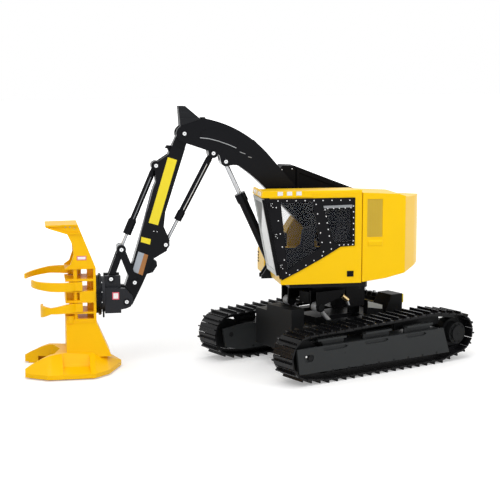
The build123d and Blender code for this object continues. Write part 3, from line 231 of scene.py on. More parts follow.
# Plastics and dull castings
PANEL_BLACK = moulded("panel_black", colour(18, 18, 21), 0.36, level=0.08)
CAST_BLACK = moulded("cast_black", colour(13, 13, 15), 0.45, grain=0.2, level=0.08)
HORN_BLACK = moulded("horn_black", colour(34, 35, 38), 0.45, grain=0.1, level=0.1)
BRACKET_GREY = moulded("bracket_grey", colour(42, 43, 47), 0.4, grain=0.1, level=0.12)
# pale grey diffuse colour on the levelling cylinders' chrome rods: a painted reflection
ROD_PAINTED_REFLECTION = moulded("rod_painted_reflection_grey", colour(205, 206, 207), 0.35, grain=0.05)
DOOR_GREY = moulded("door_frame_grey", colour(203, 207, 206), 0.3, grain=0.03)
BAR_GREY = moulded("bar_grey", colour(150, 153, 156), 0.35, grain=0.03)
SEAT_BLACK = moulded("seat_black", colour(30, 32, 38), 0.7, grain=0.4, level=0.15)
# near-black sheet that paints the shade inside the cab over its yellow walls and floor
PAINTED_SHADE_BLACK = moulded("painted_shade_black", colour(17, 20, 27), 0.6, grain=0.1, level=0.1)
LAMP_WHITE = moulded("lamp_white", colour(245, 246, 248), 0.2, grain=0.0)
PIPE_GREY = moulded("pipe_grey", colour(92, 92, 100), 0.4, grain=0.05)
# Metals
BRIGHT = metal("bright_metal", colour(226, 227, 228), 0.24)
ROD_BRIGHT = metal("rod_metal", colour(192, 194, 197), 0.3)
SATIN = metal("satin_metal", colour(172, 174, 176), 0.3)
BRASS = metal("brass_metal", colour(232, 204, 150), 0.3)
BEAD = metal("bead_metal", colour(140, 142, 145), 0.25)
SAW_STEEL = metal("saw_steel", colour(150, 150, 152), 0.35)
# Labels and glass
LABEL_YELLOW = label_film("label_yellow_film", colour(244, 222, 45))
LABEL_WHITE = label_film("label_white_film", colour(246, 240, 240))
LABEL_PINK = label_film("label_pink_film", colour(222, 96, 112))
LABEL_SILVER = label_film("label_silver_film", colour(168, 174, 182))
LABEL_BROWN = label_film("label_brown_film", colour(168, 112, 60))
SIDE_GLASS = window_glass("side_glass", colour(18, 24, 34), 0.16)
# the windshield is a nearly opaque pale grey pane: its colour is a painted reflection of the white
# surroundings
WINDSHIELD_PAINTED_REFLECTION = window_glass("windshield_painted_reflection", colour(203, 207, 207), 0.9)

# Finishes of the CAD nodes whose names don't give them in finish_of
NODE_FINISH = {
    "cab_shell": CAB_YELLOW, "cab_roof": CAB_YELLOW, "hood": CAB_YELLOW, "right_box": CAB_YELLOW,
    "brow_lamps": LAMP_WHITE, "vent_screen": VENT_TAN,
    "cab_side_panel": PANEL_BLACK, "cab_seat": SEAT_BLACK,
    # the windshield's pale grey is a painted reflection
    "cab_glass": SIDE_GLASS, "cab_door_glass": WINDSHIELD_PAINTED_REFLECTION, "cab_door": DOOR_GREY,
    "head_tower": HEAD_YELLOW, "saw_housing": HEAD_YELLOW, "grab_arm_left": HEAD_YELLOW,
    "grab_arm_right": HEAD_YELLOW, "accumulator_arm": HEAD_YELLOW, "head_pins": HEAD_YELLOW,
    "saw_disc": SAW_STEEL,
    "track_left": TRACK_BLACK, "track_right": TRACK_BLACK,
    "track_frame_left": PLATE_BLACK, "track_frame_right": PLATE_BLACK,
    "carbody": BOX_BLACK, "front_box": BOX_BLACK, "rear_box": BOX_BLACK, "rear_bracket": BOX_BLACK,
    "deck": BOX_BLACK, "level_frame": CAST_BLACK, "boom_horn": HORN_BLACK, "head_bracket": BRACKET_GREY,
    # the levelling rods' pale grey is a painted reflection on their chrome
    "level_rod_left": ROD_PAINTED_REFLECTION, "level_rod_right": ROD_PAINTED_REFLECTION,
    "deck_pins": BOX_BLACK, "level_pins": BOX_BLACK, "carbody_pins": BOX_BLACK,
}


def finish_of(name):
    """The finish of a node: from the table, else by its kind."""
    if name in NODE_FINISH:
        return NODE_FINISH[name]
    if name.startswith(("sprocket", "idler", "rollers")):
        return BOX_BLACK
    if "_rod" in name:
        return ROD_BRIGHT
    if name.endswith(("_pins", "_pin")):
        return BRIGHT
    return ARM_BLACK


for node_name, node_object in frame["nodes"].items():
    finish = finish_of(node_name)
    if not node_object.material_slots:
        node_object.data.materials.append(finish)
    for material_slot in node_object.material_slots:
        material_slot.material = finish


# Making pieces
def show(name, mesh, finish, body):
    """Puts a finished mesh in the scene as one piece on a body."""
    mesh.materials.clear()
    mesh.materials.append(finish)
    obj = bpy.data.objects.new(name, mesh)
    bpy.context.scene.collection.objects.link(obj)
    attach(obj, body)
    return obj


def piece(name, bm, finish, body, place=IN_UPPER, smooth=35):
    """Makes a piece of a bmesh drawn in millimetres; edges sharper than smooth degrees stay crisp."""
    bmesh.ops.transform(bm, matrix=place, verts=bm.verts)
    bmesh.ops.recalc_face_normals(bm, faces=bm.faces)
    mesh = bpy.data.meshes.new(name)
    bm.to_mesh(mesh)
    bm.free()
    mesh.shade_smooth()
    mesh.set_sharp_from_angle(angle=math.radians(smooth))
    return show(name, mesh, finish, body)


BEVEL_FROM = 28                  # degrees between faces from which an edge is rounded


def soften(obj, width):
    """Small rounded edges, their width in millimetres, that leave flat faces flat."""
    obj.data.shade_smooth()
    edge = obj.modifiers.new("edges", "BEVEL")
    edge.width = width * MM
    edge.segments = 2
    edge.limit_method = "ANGLE"
    edge.angle_limit = math.radians(BEVEL_FROM)
    flat = obj.modifiers.new("flat_faces", "WEIGHTED_NORMAL")
    flat.keep_sharp = True


def rounded(node, width):
    """A merged copy of a CAD node with small rounded edges stands for the node."""
    bm = bmesh.new()
    bm.from_mesh(frame["nodes"][node].data)
    bmesh.ops.remove_doubles(bm, verts=bm.verts, dist=0.002 * MM)
    bmesh.ops.dissolve_limit(bm, angle_limit=math.radians(0.5), verts=bm.verts, edges=bm.edges)
    mesh = bpy.data.meshes.new(node + "_rounded")
    bm.to_mesh(mesh)
    bm.free()
    obj = show(node + "_rounded", mesh, finish_of(node), BODY_OF[node])
    soften(obj, width)
    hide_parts(node)


def add_plate(bm, outline, right, left):
    """An outline of X and Z points pulled along Y."""
    face = bm.faces.new([bm.verts.new((x, right, z)) for x, z in outline])
    grown = bmesh.ops.extrude_face_region(bm, geom=[face])
    moved = [part for part in grown["geom"] if isinstance(part, bmesh.types.BMVert)]
    bmesh.ops.translate(bm, vec=(0, left - right, 0), verts=moved)


def add_block(bm, low, high):
    """A box between two corners."""
    low, high = Vector(low), Vector(high)
    matrix = Matrix.Translation((low + high) / 2) @ Matrix.Diagonal((*(high - low), 1))
    bmesh.ops.create_cube(bm, size=1.0, matrix=matrix)


def add_button(bm, at, radius, height, along=(0, 1, 0), sides=12, top=0.75):
    """A low round head that stands on a point along a direction."""
    along = Vector(along).normalized()
    turn = Vector((0, 0, 1)).rotation_difference(along).to_matrix().to_4x4()
    matrix = Matrix.Translation(Vector(at) + along * height / 2) @ turn
    bmesh.ops.create_cone(
        bm, cap_ends=True, segments=sides, radius1=radius, radius2=radius * top, depth=height, matrix=matrix
    )


def add_pipe(bm, points, radius, sides=10):
    """A pipe through points, with a ball at each bend."""
    points = [Vector(at) for at in points]
    for start, end in zip(points, points[1:]):
        add_button(bm, start, radius, (end - start).length, end - start, sides, top=1.0)
    for at in points[1:-1]:
        bmesh.ops.create_uvsphere(
            bm, u_segments=sides, v_segments=sides // 2, radius=radius * 1.02, matrix=Matrix.Translation(at)
        )


def row(start, end, count):
    """Evenly spaced points from start to end."""
    start, end = Vector(start), Vector(end)
    return [start.lerp(end, number / (count - 1)) for number in range(count)]


# Rounded edges on the castings: node, width in millimetres
ROUNDED = (
    ("cab_shell", 0.5), ("cab_roof", 0.35), ("hood", 0.7), ("right_box", 0.5),
    ("boom", 0.5), ("boom_horn", 0.3), ("stick", 0.25), ("head_tower", 0.25), ("saw_housing", 0.3),
    ("grab_arm_left", 0.2), ("grab_arm_right", 0.2), ("accumulator_arm", 0.2), ("head_bracket", 0.25),
    ("front_box", 0.3), ("rear_box", 0.3), ("track_frame_left", 0.2), ("track_frame_right", 0.2),
    ("carbody", 0.3), ("deck", 0.3), ("level_frame", 0.25), ("cab_door", 0.2), ("rotator_ring", 0.2),
)
for node_name, edge_width in ROUNDED:
    rounded(node_name, edge_width)

# Cab
CAB_SIDE = 45.75                 # Y of the yellow walls
PANEL_FACE = 46.35               # Y of the black panel's face
HINGE_FACE = 46.95               # Y of the hinges' faces
# rows of screws on the black panel: start X and Z, end X and Z, count
SCREW_ROWS = (
    ((47.9, 108.5), (3.5, 108.2), 9),
    ((48.9, 104.5), (42.6, 64.6), 6),
    ((24.4, 106.0), (19.6, 77.0), 6),
    ((18.8, 102.6), (14.7, 78.6), 7),
    ((1.1, 104.6), (1.0, 83.3), 7),
    ((40.6, 63.4), (20.4, 74.6), 5),
    ((9.7, 80.9), (1.4, 81.1), 4),
)
# middle of each hinge, and a hinge's outline and bolts from its middle: X and Z
HINGES = ((52.0, 105.8), (49.2, 87.2), (45.9, 68.5))
HINGE = ((-1.6, -1.7), (0.9, -1.7), (1.4, 1.7), (-1.1, 1.7))
HINGE_BOLTS = ((-0.9, -1.1), (-0.5, 1.1), (0.1, -0.1), (0.5, 1.0))
# outlines in X and Z
WINDOW_BAR = ((19.9, 105.0), (1.9, 105.4), (1.9, 103.9), (19.4, 103.5))
PILLAR_COVER = ((43.6, 61.6), (46.55, 60.6), (56.2, 110.2), (53.0, 110.2))
WINDOW_RUBBER = (
    ((1.4, 81.4), (2.8, 81.4), (2.8, 103.0), (1.4, 103.0)),
    ((1.4, 81.3), (12.8, 80.7), (11.8, 82.7), (1.4, 83.0)),
)
DOOR_SIDE = ((46.9, 63.0), (48.5, 63.0), (57.5, 109.2), (55.9, 109.2))
# outline of the painted shade on the cab's right wall
PAINTED_SHADE_WALL = ((-2.6, 59.0), (43.6, 59.0), (46.6, 75.8), (13.8, 75.8), (13.8, 109.8), (-2.6, 109.8))
CONSOLE = ((20.1, 60.0), (37.0, 60.0), (38.2, 72.2), (28.7, 78.5), (27.7, 87.1), (26.6, 89.2), (20.1, 90.9))
# Y of the middles
FRONT_LAMPS = (21.0, 26.5, 35.0, 40.5)
LEVERS = (21.9, 38.9)


def panel_screws():
    """Rows of screws round the panel and its windows."""
    bm = bmesh.new()
    for start, end, count in SCREW_ROWS:
        for at in row(start, end, count):
            add_button(bm, (at[0], PANEL_FACE, at[1]), 0.46, 0.3, sides=8)
    piece("panel_screws", bm, BRIGHT, "upper")


def panel_hinges():
    """Three hinges on the front pillar with their small bolts."""
    plates = bmesh.new()
    bolts = bmesh.new()
    for x, z in HINGES:
        add_plate(plates, [(x + dx, z + dz) for dx, dz in HINGE], 46.3, HINGE_FACE)
        add_button(plates, (x + 0.6, 46.9, z - 1.9), 0.55, 3.8, (0.14, 0, 1), top=1.0)
        for dx, dz in HINGE_BOLTS:
            add_button(bolts, (x + dx, HINGE_FACE, z + dz), 0.32, 0.2, sides=8)
    piece("panel_hinges", plates, CAST_BLACK, "upper")
    piece("hinge_bolts", bolts, BRIGHT, "upper")


def rear_window_bar():
    """Pale rain bar over the rear side window, with its screws."""
    bm = bmesh.new()
    add_plate(bm, WINDOW_BAR, 46.3, 46.9)
    piece("window_bar", bm, BAR_GREY, "upper")
    bm = bmesh.new()
    for at in row((17.2, 103.3), (2.8, 103.6), 5):
        add_button(bm, (at[0], PANEL_FACE, at[1]), 0.42, 0.6, sides=8)
    piece("bar_screws", bm, BRIGHT, "upper")


def cab_trim():
    """Black step pad, pillar cover and window rubber, the door's dark side and the brow's front lamps."""
    bm = bmesh.new()
    add_block(bm, (0.5, CAB_SIDE, 61.2), (4.6, CAB_SIDE + 0.35, 64.7))
    add_plate(bm, PILLAR_COVER, CAB_SIDE, CAB_SIDE + 0.3)
    for outline in WINDOW_RUBBER:
        add_plate(bm, outline, CAB_SIDE - 0.1, CAB_SIDE + 0.2)
    piece("side_pad", bm, CAST_BLACK, "upper")
    bm = bmesh.new()
    add_plate(bm, DOOR_SIDE, CAB_SIDE - 0.45, CAB_SIDE - 0.15)
    piece("door_side", bm, CAST_BLACK, "cab_door")
    bm = bmesh.new()
    for y in FRONT_LAMPS:
        add_block(bm, (57.0, y - 1.7, 111.1), (57.9, y + 1.7, 113.4))
    piece("front_lamps", bm, LAMP_WHITE, "upper")


def cab_painted_shade():
    """Near-black sheets on the back and right walls and over the floor: painted shade inside the cab."""
    bm = bmesh.new()
    add_plate(bm, PAINTED_SHADE_WALL, 16.85, 17.05)
    add_block(bm, (-2.65, 17.0, 59.0), (-2.45, 43.9, 109.9))
    add_block(bm, (-2.6, 17.0, 58.95), (43.4, 43.9, 59.1))
    piece("cab_painted_shade", bm, PAINTED_SHADE_BLACK, "upper")


def cab_controls():
    """Monitor on its post, two levers, headrest and console, seen through the glass."""
    bm = bmesh.new()
    add_block(bm, (38.0, 19.0, 78.0), (39.4, 26.0, 86.0))
    add_pipe(bm, [(38.7, 20.0, 59.2), (38.7, 20.0, 79.0)], 0.6)
    for y in LEVERS:
        add_pipe(bm, [(21.5, y, 72.6), (23.0, y, 77.5)], 0.5)
        knob = Matrix.Translation((23.1, y, 78.0))
        bmesh.ops.create_uvsphere(bm, u_segments=12, v_segments=8, radius=1.2, matrix=knob)
    add_block(bm, (2.6, 27.0, 90.6), (5.8, 34.0, 96.0))
    add_plate(bm, CONSOLE, 21.2, 24.2)
    piece("cab_controls", bm, SEAT_BLACK, "upper")


def right_box_grille():
    """Dark slats in the front of the low box."""
    bm = bmesh.new()
    for z in (58.5, 60.5, 62.5, 64.5):
        add_block(bm, (43.4, -43.6, z), (43.85, -40.4, z + 1.1))
    piece("right_box_grille", bm, CAST_BLACK, "upper")


# Guard beside the boom's foot
GUARD_SIDE = -11.0               # Y of the face by the boom
GUARD_FAR = -26.0                # Y of the face away from it
# outlines in X and Z
GUARD = (
    (25.0, 92.0), (36.5, 106.5), (36.5, 121.0), (33.5, 125.4), (25.3, 125.0), (2.0, 116.0), (-18.0, 108.4),
    (-18.0, 104.05), (-4.95, 104.05), (-4.95, 92.0),
)
GUARD_CHEEK = ((25.4, 92.6), (36.5, 106.5), (36.5, 121.0), (33.5, 125.4), (25.4, 125.0))
GUARD_REAR = (
    (24.2, 124.5), (2.0, 115.9), (-18.0, 108.3), (-18.0, 104.05),
    (-4.95, 104.05), (-4.95, 92.0), (24.2, 92.0),
)
GUARD_TOP_RAIL = (
    (-18.0, 108.4), (2.0, 116.0), (24.2, 124.6), (24.2, 121.0),
    (22.6, 120.4), (2.0, 112.4), (-14.0, 106.2), (-18.0, 104.7),
)
GUARD_BOX = ((-4.95, 71.3), (29.6, 71.3), (31.2, 82.5), (25.0, 91.9), (-4.95, 91.9))


def boom_guard():
    """Black guard with its cheek, groove and railed panel, on the yellow box that carries it."""
    bm = bmesh.new()
    add_plate(bm, GUARD, GUARD_FAR, GUARD_SIDE - 1.2)
    add_plate(bm, GUARD_CHEEK, GUARD_SIDE - 1.3, GUARD_SIDE)
    add_plate(bm, GUARD_REAR, GUARD_SIDE - 1.3, GUARD_SIDE - 0.6)
    add_plate(bm, GUARD_TOP_RAIL, GUARD_SIDE - 0.7, GUARD_SIDE)
    add_block(bm, (22.6, GUARD_SIDE - 0.7, 92.0), (24.2, GUARD_SIDE, 121.2))
    cover = piece("guard_cover", bm, CAST_BLACK, "upper")
    soften(cover, 0.3)
    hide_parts("boom_guard")
    bm = bmesh.new()
    add_plate(bm, GUARD_BOX, GUARD_FAR, GUARD_SIDE)
    box = piece("guard_box", bm, CAB_YELLOW, "upper")
    soften(box, 0.4)
    bm = bmesh.new()
    for x, z in ((34.0, 122.6), (34.6, 110.0), (27.2, 123.2)):
        add_button(bm, (x, GUARD_SIDE, z), 0.5, 0.3, sides=8)
    piece("guard_bolts", bm, BRIGHT, "upper")


# Boom and stick
BOOM_SIDE = 6.0                  # Y of the boom's side
STICK_SIDE = 4.4                 # Y of the stick's side
# in X and Z: the long silver strip's points, a painted highlight along the raised panel's lower edge, and
# the start and end of each short weld bead
PANEL_EDGE_PAINTED_HIGHLIGHT = ((89.4, 144.6), (83.8, 144.0), (77.8, 142.4), (71.6, 140.2), (66.6, 138.0))
SHORT_BEADS = (((64.3, 135.5), (60.8, 134.2)), ((59.0, 132.4), (56.7, 131.8)))
BOOM_CLIP = ((55.6, 141.2), (51.8, 138.3), (52.0, 140.2), (54.6, 142.8))


def boom_trim():
    """Silver strips along the raised panels, the long one a painted highlight of the panel's lower edge and
    the short ones weld beads, and clips on the boom's back.
    """
    bm = bmesh.new()
    for side in (-1, 1):
        # the long silver strip is a painted highlight along the raised panel's lower edge
        add_pipe(bm, [(x, side * (BOOM_SIDE + 0.5), z) for x, z in PANEL_EDGE_PAINTED_HIGHLIGHT], 0.32)
        for start, end in SHORT_BEADS:
            add_pipe(bm, [(start[0], side * BOOM_SIDE, start[1]), (end[0], side * BOOM_SIDE, end[1])], 0.24)
    piece("boom_welds_and_painted_highlight", bm, SATIN, "boom")
    bm = bmesh.new()
    add_plate(bm, BOOM_CLIP, -2.0, 2.0)
    add_block(bm, (85.4, -2.4, 155.9), (88.4, 2.4, 157.1))
    piece("boom_clips", bm, CAST_BLACK, "boom")


# blank labels on the stick's side: name, finish, corners X and Z
STICK_LABELS = (
    ("stick_label_long", LABEL_YELLOW, ((109.3, 132.6), (103.6, 130.8), (115.9, 90.2), (121.7, 91.9))),
    ("stick_label_small", LABEL_YELLOW, ((126.3, 83.1), (120.4, 81.5), (121.1, 78.1), (126.8, 79.9))),
    ("stick_label_silver", LABEL_SILVER, ((128.4, 73.9), (124.7, 72.5), (128.7, 59.9), (132.2, 61.6))),
    ("stick_label_brown", LABEL_BROWN, ((124.7, 72.5), (122.2, 71.5), (125.9, 58.7), (128.7, 59.9))),
)


def stick_trim():
    """Blank labels, the two pipes along the front and two bolts."""
    for name, finish, corners in STICK_LABELS:
        bm = bmesh.new()
        add_plate(bm, corners, STICK_SIDE, STICK_SIDE + 0.1)
        piece(name, bm, finish, "stick")
    bm = bmesh.new()
    for y in (3.2, 4.05):
        add_pipe(bm, [(119.5, y, 112.5), (120.8, y, 107.9), (127.2, y, 81.7)], 0.32)
    piece("stick_pipes", bm, PIPE_GREY, "stick")
    bm = bmesh.new()
    for x, z in ((118.6, 86.5), (116.5, 86.1)):
        add_button(bm, (x, STICK_SIDE, z), 0.35, 0.25, sides=8)
    piece("stick_bolts", bm, BRIGHT, "stick")


# cylinders of the arm: barrel's body, foot, rod's eye, radius, then its hard line's start, end and finish;
# the stick cylinder's bright line is a painted highlight down its barrel
BARRELS = (
    ("boom_barrel", (42.0, 62.0), (73.0, 129.5), 3.0, 12.0, 44.0, ARM_BLACK),
    # the bright finish of this hard line is a painted highlight down the stick cylinder's barrel
    ("stick_barrel", (80.9, 134.8), (111.1, 77.7), 2.1, 8.0, 40.0, BRIGHT),
    ("tilt_barrel", (116.7, 127.4), (139.0, 75.5), 1.9, 8.0, 36.0, BEAD),
)


def barrel_lines():
    """Hard line along each arm cylinder, bent in at both ends; the stick cylinder's bright one is a painted
    highlight.
    """
    for body, foot, eye, radius, start, end, finish in BARRELS:
        along = (Vector(eye) - Vector(foot)).normalized()
        at = [Vector(foot) + along * reach for reach in (start, end)]
        inside, outside = radius - 0.4, radius + 0.35
        bm = bmesh.new()
        add_pipe(bm, [
            (at[0].x, inside, at[0].y), (at[0].x, outside, at[0].y),
            (at[1].x, outside, at[1].y), (at[1].x, inside, at[1].y),
        ], 0.3)
        piece(body + "_line", bm, finish, body)


# heads of the pins: body, X, Z, Y of the pin's end
PIN_HEADS = (
    ("boom", 99.0, 147.2, 6.5), ("boom", 80.9, 134.8, 6.5), ("boom", 73.0, 129.5, 6.5),
    ("stick", 111.1, 77.7, 4.9), ("stick", 116.7, 127.4, 4.9), ("stick", 131.0, 54.6, 6.6),
    ("rocker", 139.0, 75.5, 6.6), ("head_bracket", 136.4, 43.1, 10.0), ("head_bracket", 145.8, 57.4, 7.6),
)


def add_collar(bm, at, inner, outer, low, high):
    """A flat ring round a line along Y."""
    loop = [(inner, low), (outer, low), (outer, high), (inner, high)]
    verts = [bm.verts.new((at[0] + reach, y, at[1])) for reach, y in loop]
    edges = [bm.edges.new((verts[place - 1], verts[place])) for place in range(4)]
    bmesh.ops.spin(
        bm, geom=verts + edges, cent=(at[0], 0, at[1]), axis=(0, 1, 0),
        angle=2 * math.pi, steps=24, use_merge=True,
    )


def pin_heads():
    """Black keeper ring and small centre on each end of the arm's pins."""
    for body in ("boom", "stick", "rocker", "head_bracket"):
        rings = bmesh.new()
        centres = bmesh.new()
        for owner, x, z, y in PIN_HEADS:
            if owner == body:
                for side in (-1, 1):
                    low, high = sorted((side * (y - 0.4), side * (y + 0.15)))
                    add_collar(rings, (x, z), 1.2, 2.1, low, high)
                    add_button(centres, (x, side * (y - 0.05), z), 0.4, 0.25, (0, side, 0), sides=10)
        piece(body + "_pin_rings", rings, ARM_BLACK, body)
        piece(body + "_pin_centres", centres, BEAD, body)


# Felling head
TOWER_SIDE = 11.0                # Y of the tower's side
ROTATOR = (152.0, 47.0)          # X of the ring's face and Z of its middle
ROTATOR_BOLTS = 12.3             # radius of the bolt circle
TOWER_TOP = (155.4, 65.2)        # X and Z of the rear edge of the tower's top
# flanges of the hook on the mast: X and Z from that edge
HOOK_FLANGES = (
    ((10.3, 26.4), (10.7, 27.4), (30.4, 27.1), (30.2, 26.2)),
    ((28.2, 24.9), (17.1, 21.3), (8.3, 21.3), (8.7, 22.3), (16.9, 22.3), (27.9, 25.9)),
)


def blank_plate(name, body, low, high, face, border):
    """Small blank plate with a coloured border on a side face."""
    bm = bmesh.new()
    add_block(bm, (low[0], face, low[1]), (high[0], face + 0.1, high[1]))
    piece(name + "_border", bm, LABEL_PINK, body)
    bm = bmesh.new()
    inner_low = (low[0] + border, face + 0.05, low[1] + border)
    inner_high = (high[0] - border, face + 0.16, high[1] - border)
    add_block(bm, inner_low, inner_high)
    piece(name, bm, LABEL_WHITE, body)


def head_trim():
    """Blank plates, flanges, bolts of the rotator and of the mast, and the tab under the rotator."""
    blank_plate("mast_plate", "head", (161.0, 70.3), (166.9, 73.0), TOWER_SIDE, 0.5)
    blank_plate("bracket_plate", "head_bracket", (141.1, 44.8), (145.3, 49.4), 9.5, 0.6)
    bm = bmesh.new()
    for side in (-1, 1):
        inner, outer = sorted((side * (TOWER_SIDE - 0.1), side * (TOWER_SIDE + 0.3)))
        add_block(bm, (155.6, inner, 64.9), (173.9, outer, 65.6))
        add_block(bm, (155.6, inner, 30.9), (173.9, outer, 31.5))
        low, high = sorted((side * (TOWER_SIDE - 0.1), side * (TOWER_SIDE + 0.9)))
        for outline in HOOK_FLANGES:
            add_plate(bm, [(TOWER_TOP[0] + x, TOWER_TOP[1] + z) for x, z in outline], low, high)
    piece("tower_flanges", bm, HEAD_YELLOW, "head")
    bm = bmesh.new()
    for number in range(12):
        turn = math.radians(15 + 30 * number)
        at = (ROTATOR[0], ROTATOR_BOLTS * math.cos(turn), ROTATOR[1] + ROTATOR_BOLTS * math.sin(turn))
        add_button(bm, at, 0.45, 0.5, (-1, 0, 0), sides=8)
    piece("rotator_bolts", bm, BRIGHT, "head")
    bm = bmesh.new()
    for side in (-1, 1):
        for x, z in ((170.7, 91.0), (168.0, 90.2), (173.4, 91.0)):
            add_button(bm, (x, side * TOWER_SIDE, z), 0.4, 0.3, (0, side, 0), sides=8)
    piece("mast_bolts", bm, BEAD, "head")
    bm = bmesh.new()
    add_block(bm, (150.2, 5.4, 33.4), (151.2, 7.8, 38.4))
    piece("rotator_tab", bm, CAST_BLACK, "head_bracket")


# Undercarriage, in the tracks' own frame
PLATE_FACE = 50.8                # Y of the side plates' faces
SPROCKET = (-60.6, 17.8)         # X and Z of the sprockets' axle
HUB_BOLTS = 5.9                  # radius of the bolt circle
# outlines in X and Z
STEP_EDGE = ((-25.78, 31.2), (-28.1, 35.4), (-27.9, 35.5), (-25.6, 31.3))
STEP_PLATE = ((-23.0, 33.0), (-23.0, 35.6), (-11.0, 39.3), (-11.0, 35.2))


def undercarriage_trim():
    """Hub and idler bolts, fins in the tracks, and fittings on the rear box and the levelling frame."""
    hub_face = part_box("sprocket_left")[1].y / MM
    for name, side in (("left", 1), ("right", -1)):
        bm = bmesh.new()
        for number in range(10):
            turn = math.radians(36 * number)
            x, z = SPROCKET[0] + HUB_BOLTS * math.cos(turn), SPROCKET[1] + HUB_BOLTS * math.sin(turn)
            at = (x, side * (hub_face - 1.0), z)
            add_button(bm, at, 0.45, 0.7, (0, side, 0), sides=8)
        add_button(bm, (SPROCKET[0], side * (hub_face - 0.05), SPROCKET[1]), 1.1, 0.35, (0, side, 0))
        piece("hub_bolts_" + name, bm, BOX_BLACK, "undercarriage", IN_TRACKS)
        bm = bmesh.new()
        add_button(bm, (62.3, side * (PLATE_FACE - 1.4), 18.0), 0.85, 1.2, (0, side, 0))
        piece("idler_bolt_" + name, bm, BRIGHT, "undercarriage", IN_TRACKS)
    bm = bmesh.new()
    for side in (-1, 1):
        low, high = sorted((side * 40.4, side * 41.2))
        add_block(bm, (-52.0, low, 23.5), (-14.0, high, 29.4))
    piece("track_fins", bm, BOX_BLACK, "undercarriage", IN_TRACKS)
    bm = bmesh.new()
    add_block(bm, (19.5, -5.0, 39.4), (26.0, 5.0, 46.5))
    add_button(bm, (22.7, 5.0, 42.6), 2.2, 1.2, (0, 1, 0), sides=16)
    piece("hose_block", bm, CAST_BLACK, "level_frame", IN_TRACKS)
    bm = bmesh.new()
    add_block(bm, (-41.0, 16.8, 35.4), (-39.9, 19.2, 41.0))
    piece("rear_sticker", bm, LABEL_YELLOW, "undercarriage", place=IN_TRACKS)
    bm = bmesh.new()
    add_plate(bm, STEP_EDGE, -18.8, 4.6)
    add_plate(bm, STEP_PLATE, 18.95, 19.2)
    piece("rear_step", bm, DOOR_GREY, "undercarriage", IN_TRACKS)
    bm = bmesh.new()
    for y in (-12, -2):
        add_button(bm, (-34, y, 39.8), 1.3, 1.3, (0, 0, 1))
    piece("valve_caps", bm, SATIN, "undercarriage", IN_TRACKS)
    bm = bmesh.new()
    add_pipe(bm, [(10.2, 18.9, 45.0), (6.2, 19.4, 41.8)], 1.5)
    piece("brass_fitting", bm, BRASS, "level_frame", IN_TRACKS)
    bm = bmesh.new()
    add_pipe(bm, [(6.8, 19.4, 42.0), (5.4, 19.6, 38.4)], 1.0)
    piece("steel_fitting", bm, SATIN, "level_frame", IN_TRACKS)


panel_screws()
panel_hinges()
rear_window_bar()
cab_trim()
cab_painted_shade()
cab_controls()
boom_guard()
right_box_grille()
boom_trim()
stick_trim()
barrel_lines()
pin_heads()
head_trim()
undercarriage_trim()


# Floor, light and camera
FLOOR_KEPT = 0.3                 # metres round the model where the shadow is kept
FLOOR_FADE = 0.4                 # metres over which the floor then goes white
FLOOR_GLOW = 0.3                 # share of white added where the shadow is kept
WORLD_LIGHT = 0.45               # strength that lights the model; 1 is what camera and reflections see
CAMERA_AT = (511.8, 641.5, 187.6)
CAMERA_HEADING = (-0.5690, -0.8223, 0.0)
CAMERA_PITCH = 8.1               # degrees down


def floor():
    """White ground that keeps the shadow near the model and fades into the white behind it."""
    bm = bmesh.new()
    bmesh.ops.create_grid(bm, x_segments=1, y_segments=1, size=6.0)
    mesh = bpy.data.meshes.new("floor")
    bm.to_mesh(mesh)
    bm.free()
    obj = bpy.data.objects.new("floor", mesh)
    bpy.context.scene.collection.objects.link(obj)
    n = Nodes("white_ground")
    place = n.object_place()
    soft = n.noise(place, 2.0)
    away = n.node("VectorMath", {"operation": "LENGTH"}, out=1, _0=place)
    fade = ((away - FLOOR_KEPT) / FLOOR_FADE).clamp()
    path = n.tree.nodes.new("ShaderNodeLightPath")
    seen = Value(n, path.outputs["Is Camera Ray"]).larger(Value(n, path.outputs["Is Glossy Ray"]))
    seen = seen.larger(Value(n, path.outputs["Is Transmission Ray"]))
    glow = seen * (FLOOR_GLOW + fade * (1 - FLOOR_GLOW))
    n.surface(
        Base_Color=n.mix(soft, (0.8, 0.8, 0.8, 1), (0.83, 0.83, 0.83, 1)), Roughness=0.7,
        Emission_Color=n.mix(glow, (0, 0, 0, 1), (1, 1, 1, 1)), Emission_Strength=1.0,
        Specular_IOR_Level=0.2,
    )
    mesh.materials.append(n.material)


def area_light(name, at, towards, size, power):
    """A rectangular lamp turned to a point."""
    data = bpy.data.lights.new(name, "AREA")
    data.shape = "RECTANGLE"
    data.size, data.size_y = size
    data.energy = power
    obj = bpy.data.objects.new(name, data)
    obj.location = at
    obj.rotation_mode = "QUATERNION"
    obj.rotation_quaternion = (Vector(towards) - Vector(at)).to_track_quat("-Z", "Y")
    bpy.context.scene.collection.objects.link(obj)


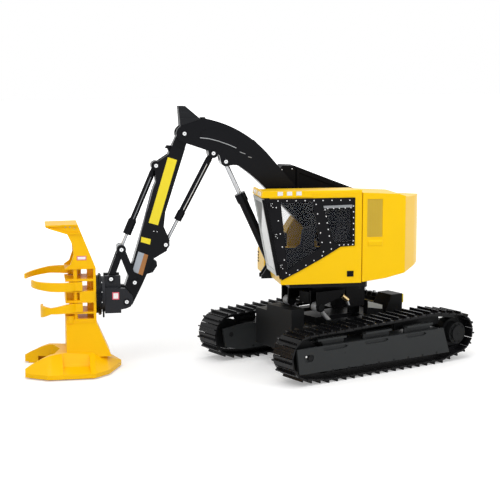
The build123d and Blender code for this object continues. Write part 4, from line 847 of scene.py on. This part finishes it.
def world_light():
    """Even light, seen as white behind the model."""
    world = bpy.data.worlds.new("studio")
    world.use_nodes = True
    bpy.context.scene.world = world
    tree = world.node_tree
    back = tree.nodes["Background"]
    path = tree.nodes.new("ShaderNodeLightPath")
    both = tree.nodes.new("ShaderNodeMath")
    both.operation = "MAXIMUM"
    tree.links.new(path.outputs["Is Camera Ray"], both.inputs[0])
    tree.links.new(path.outputs["Is Transmission Ray"], both.inputs[1])
    glossy = tree.nodes.new("ShaderNodeMath")
    glossy.operation = "MAXIMUM"
    tree.links.new(both.outputs[0], glossy.inputs[0])
    tree.links.new(path.outputs["Is Glossy Ray"], glossy.inputs[1])
    strength = tree.nodes.new("ShaderNodeMath")
    strength.operation = "MULTIPLY_ADD"
    tree.links.new(glossy.outputs[0], strength.inputs[0])
    strength.inputs[1].default_value = 1 - WORLD_LIGHT
    strength.inputs[2].default_value = WORLD_LIGHT
    back.inputs["Color"].default_value = (1, 1, 1, 1)
    tree.links.new(strength.outputs[0], back.inputs["Strength"])


def camera():
    """Camera at the photograph's place: long lens, a little higher than the model."""
    data = bpy.data.cameras.new("camera")
    data.sensor_width = 36.0
    data.lens = 92.16
    data.clip_start = 0.05
    data.clip_end = 20
    obj = bpy.data.objects.new("camera", data)
    obj.location = Vector(CAMERA_AT) * MM
    heading = Vector(CAMERA_HEADING)
    pitch = math.radians(CAMERA_PITCH)
    look = heading * math.cos(pitch) - Vector((0, 0, math.sin(pitch)))
    obj.rotation_mode = "QUATERNION"
    obj.rotation_quaternion = look.to_track_quat("-Z", "Y")
    bpy.context.scene.collection.objects.link(obj)
    bpy.context.scene.camera = obj


floor()
world_light()
area_light("key", (0.75, 0.55, 0.95), (0.02, 0, 0.06), (0.7, 0.7), 6.0)
area_light("fill", (-0.5, 0.95, 0.5), (0, 0, 0.06), (0.8, 0.6), 2.6)
area_light("top", (0.05, 0.0, 1.1), (0, 0, 0.05), (0.9, 0.9), 5.0)
camera()
bpy.context.scene.view_settings.view_transform = "Standard"
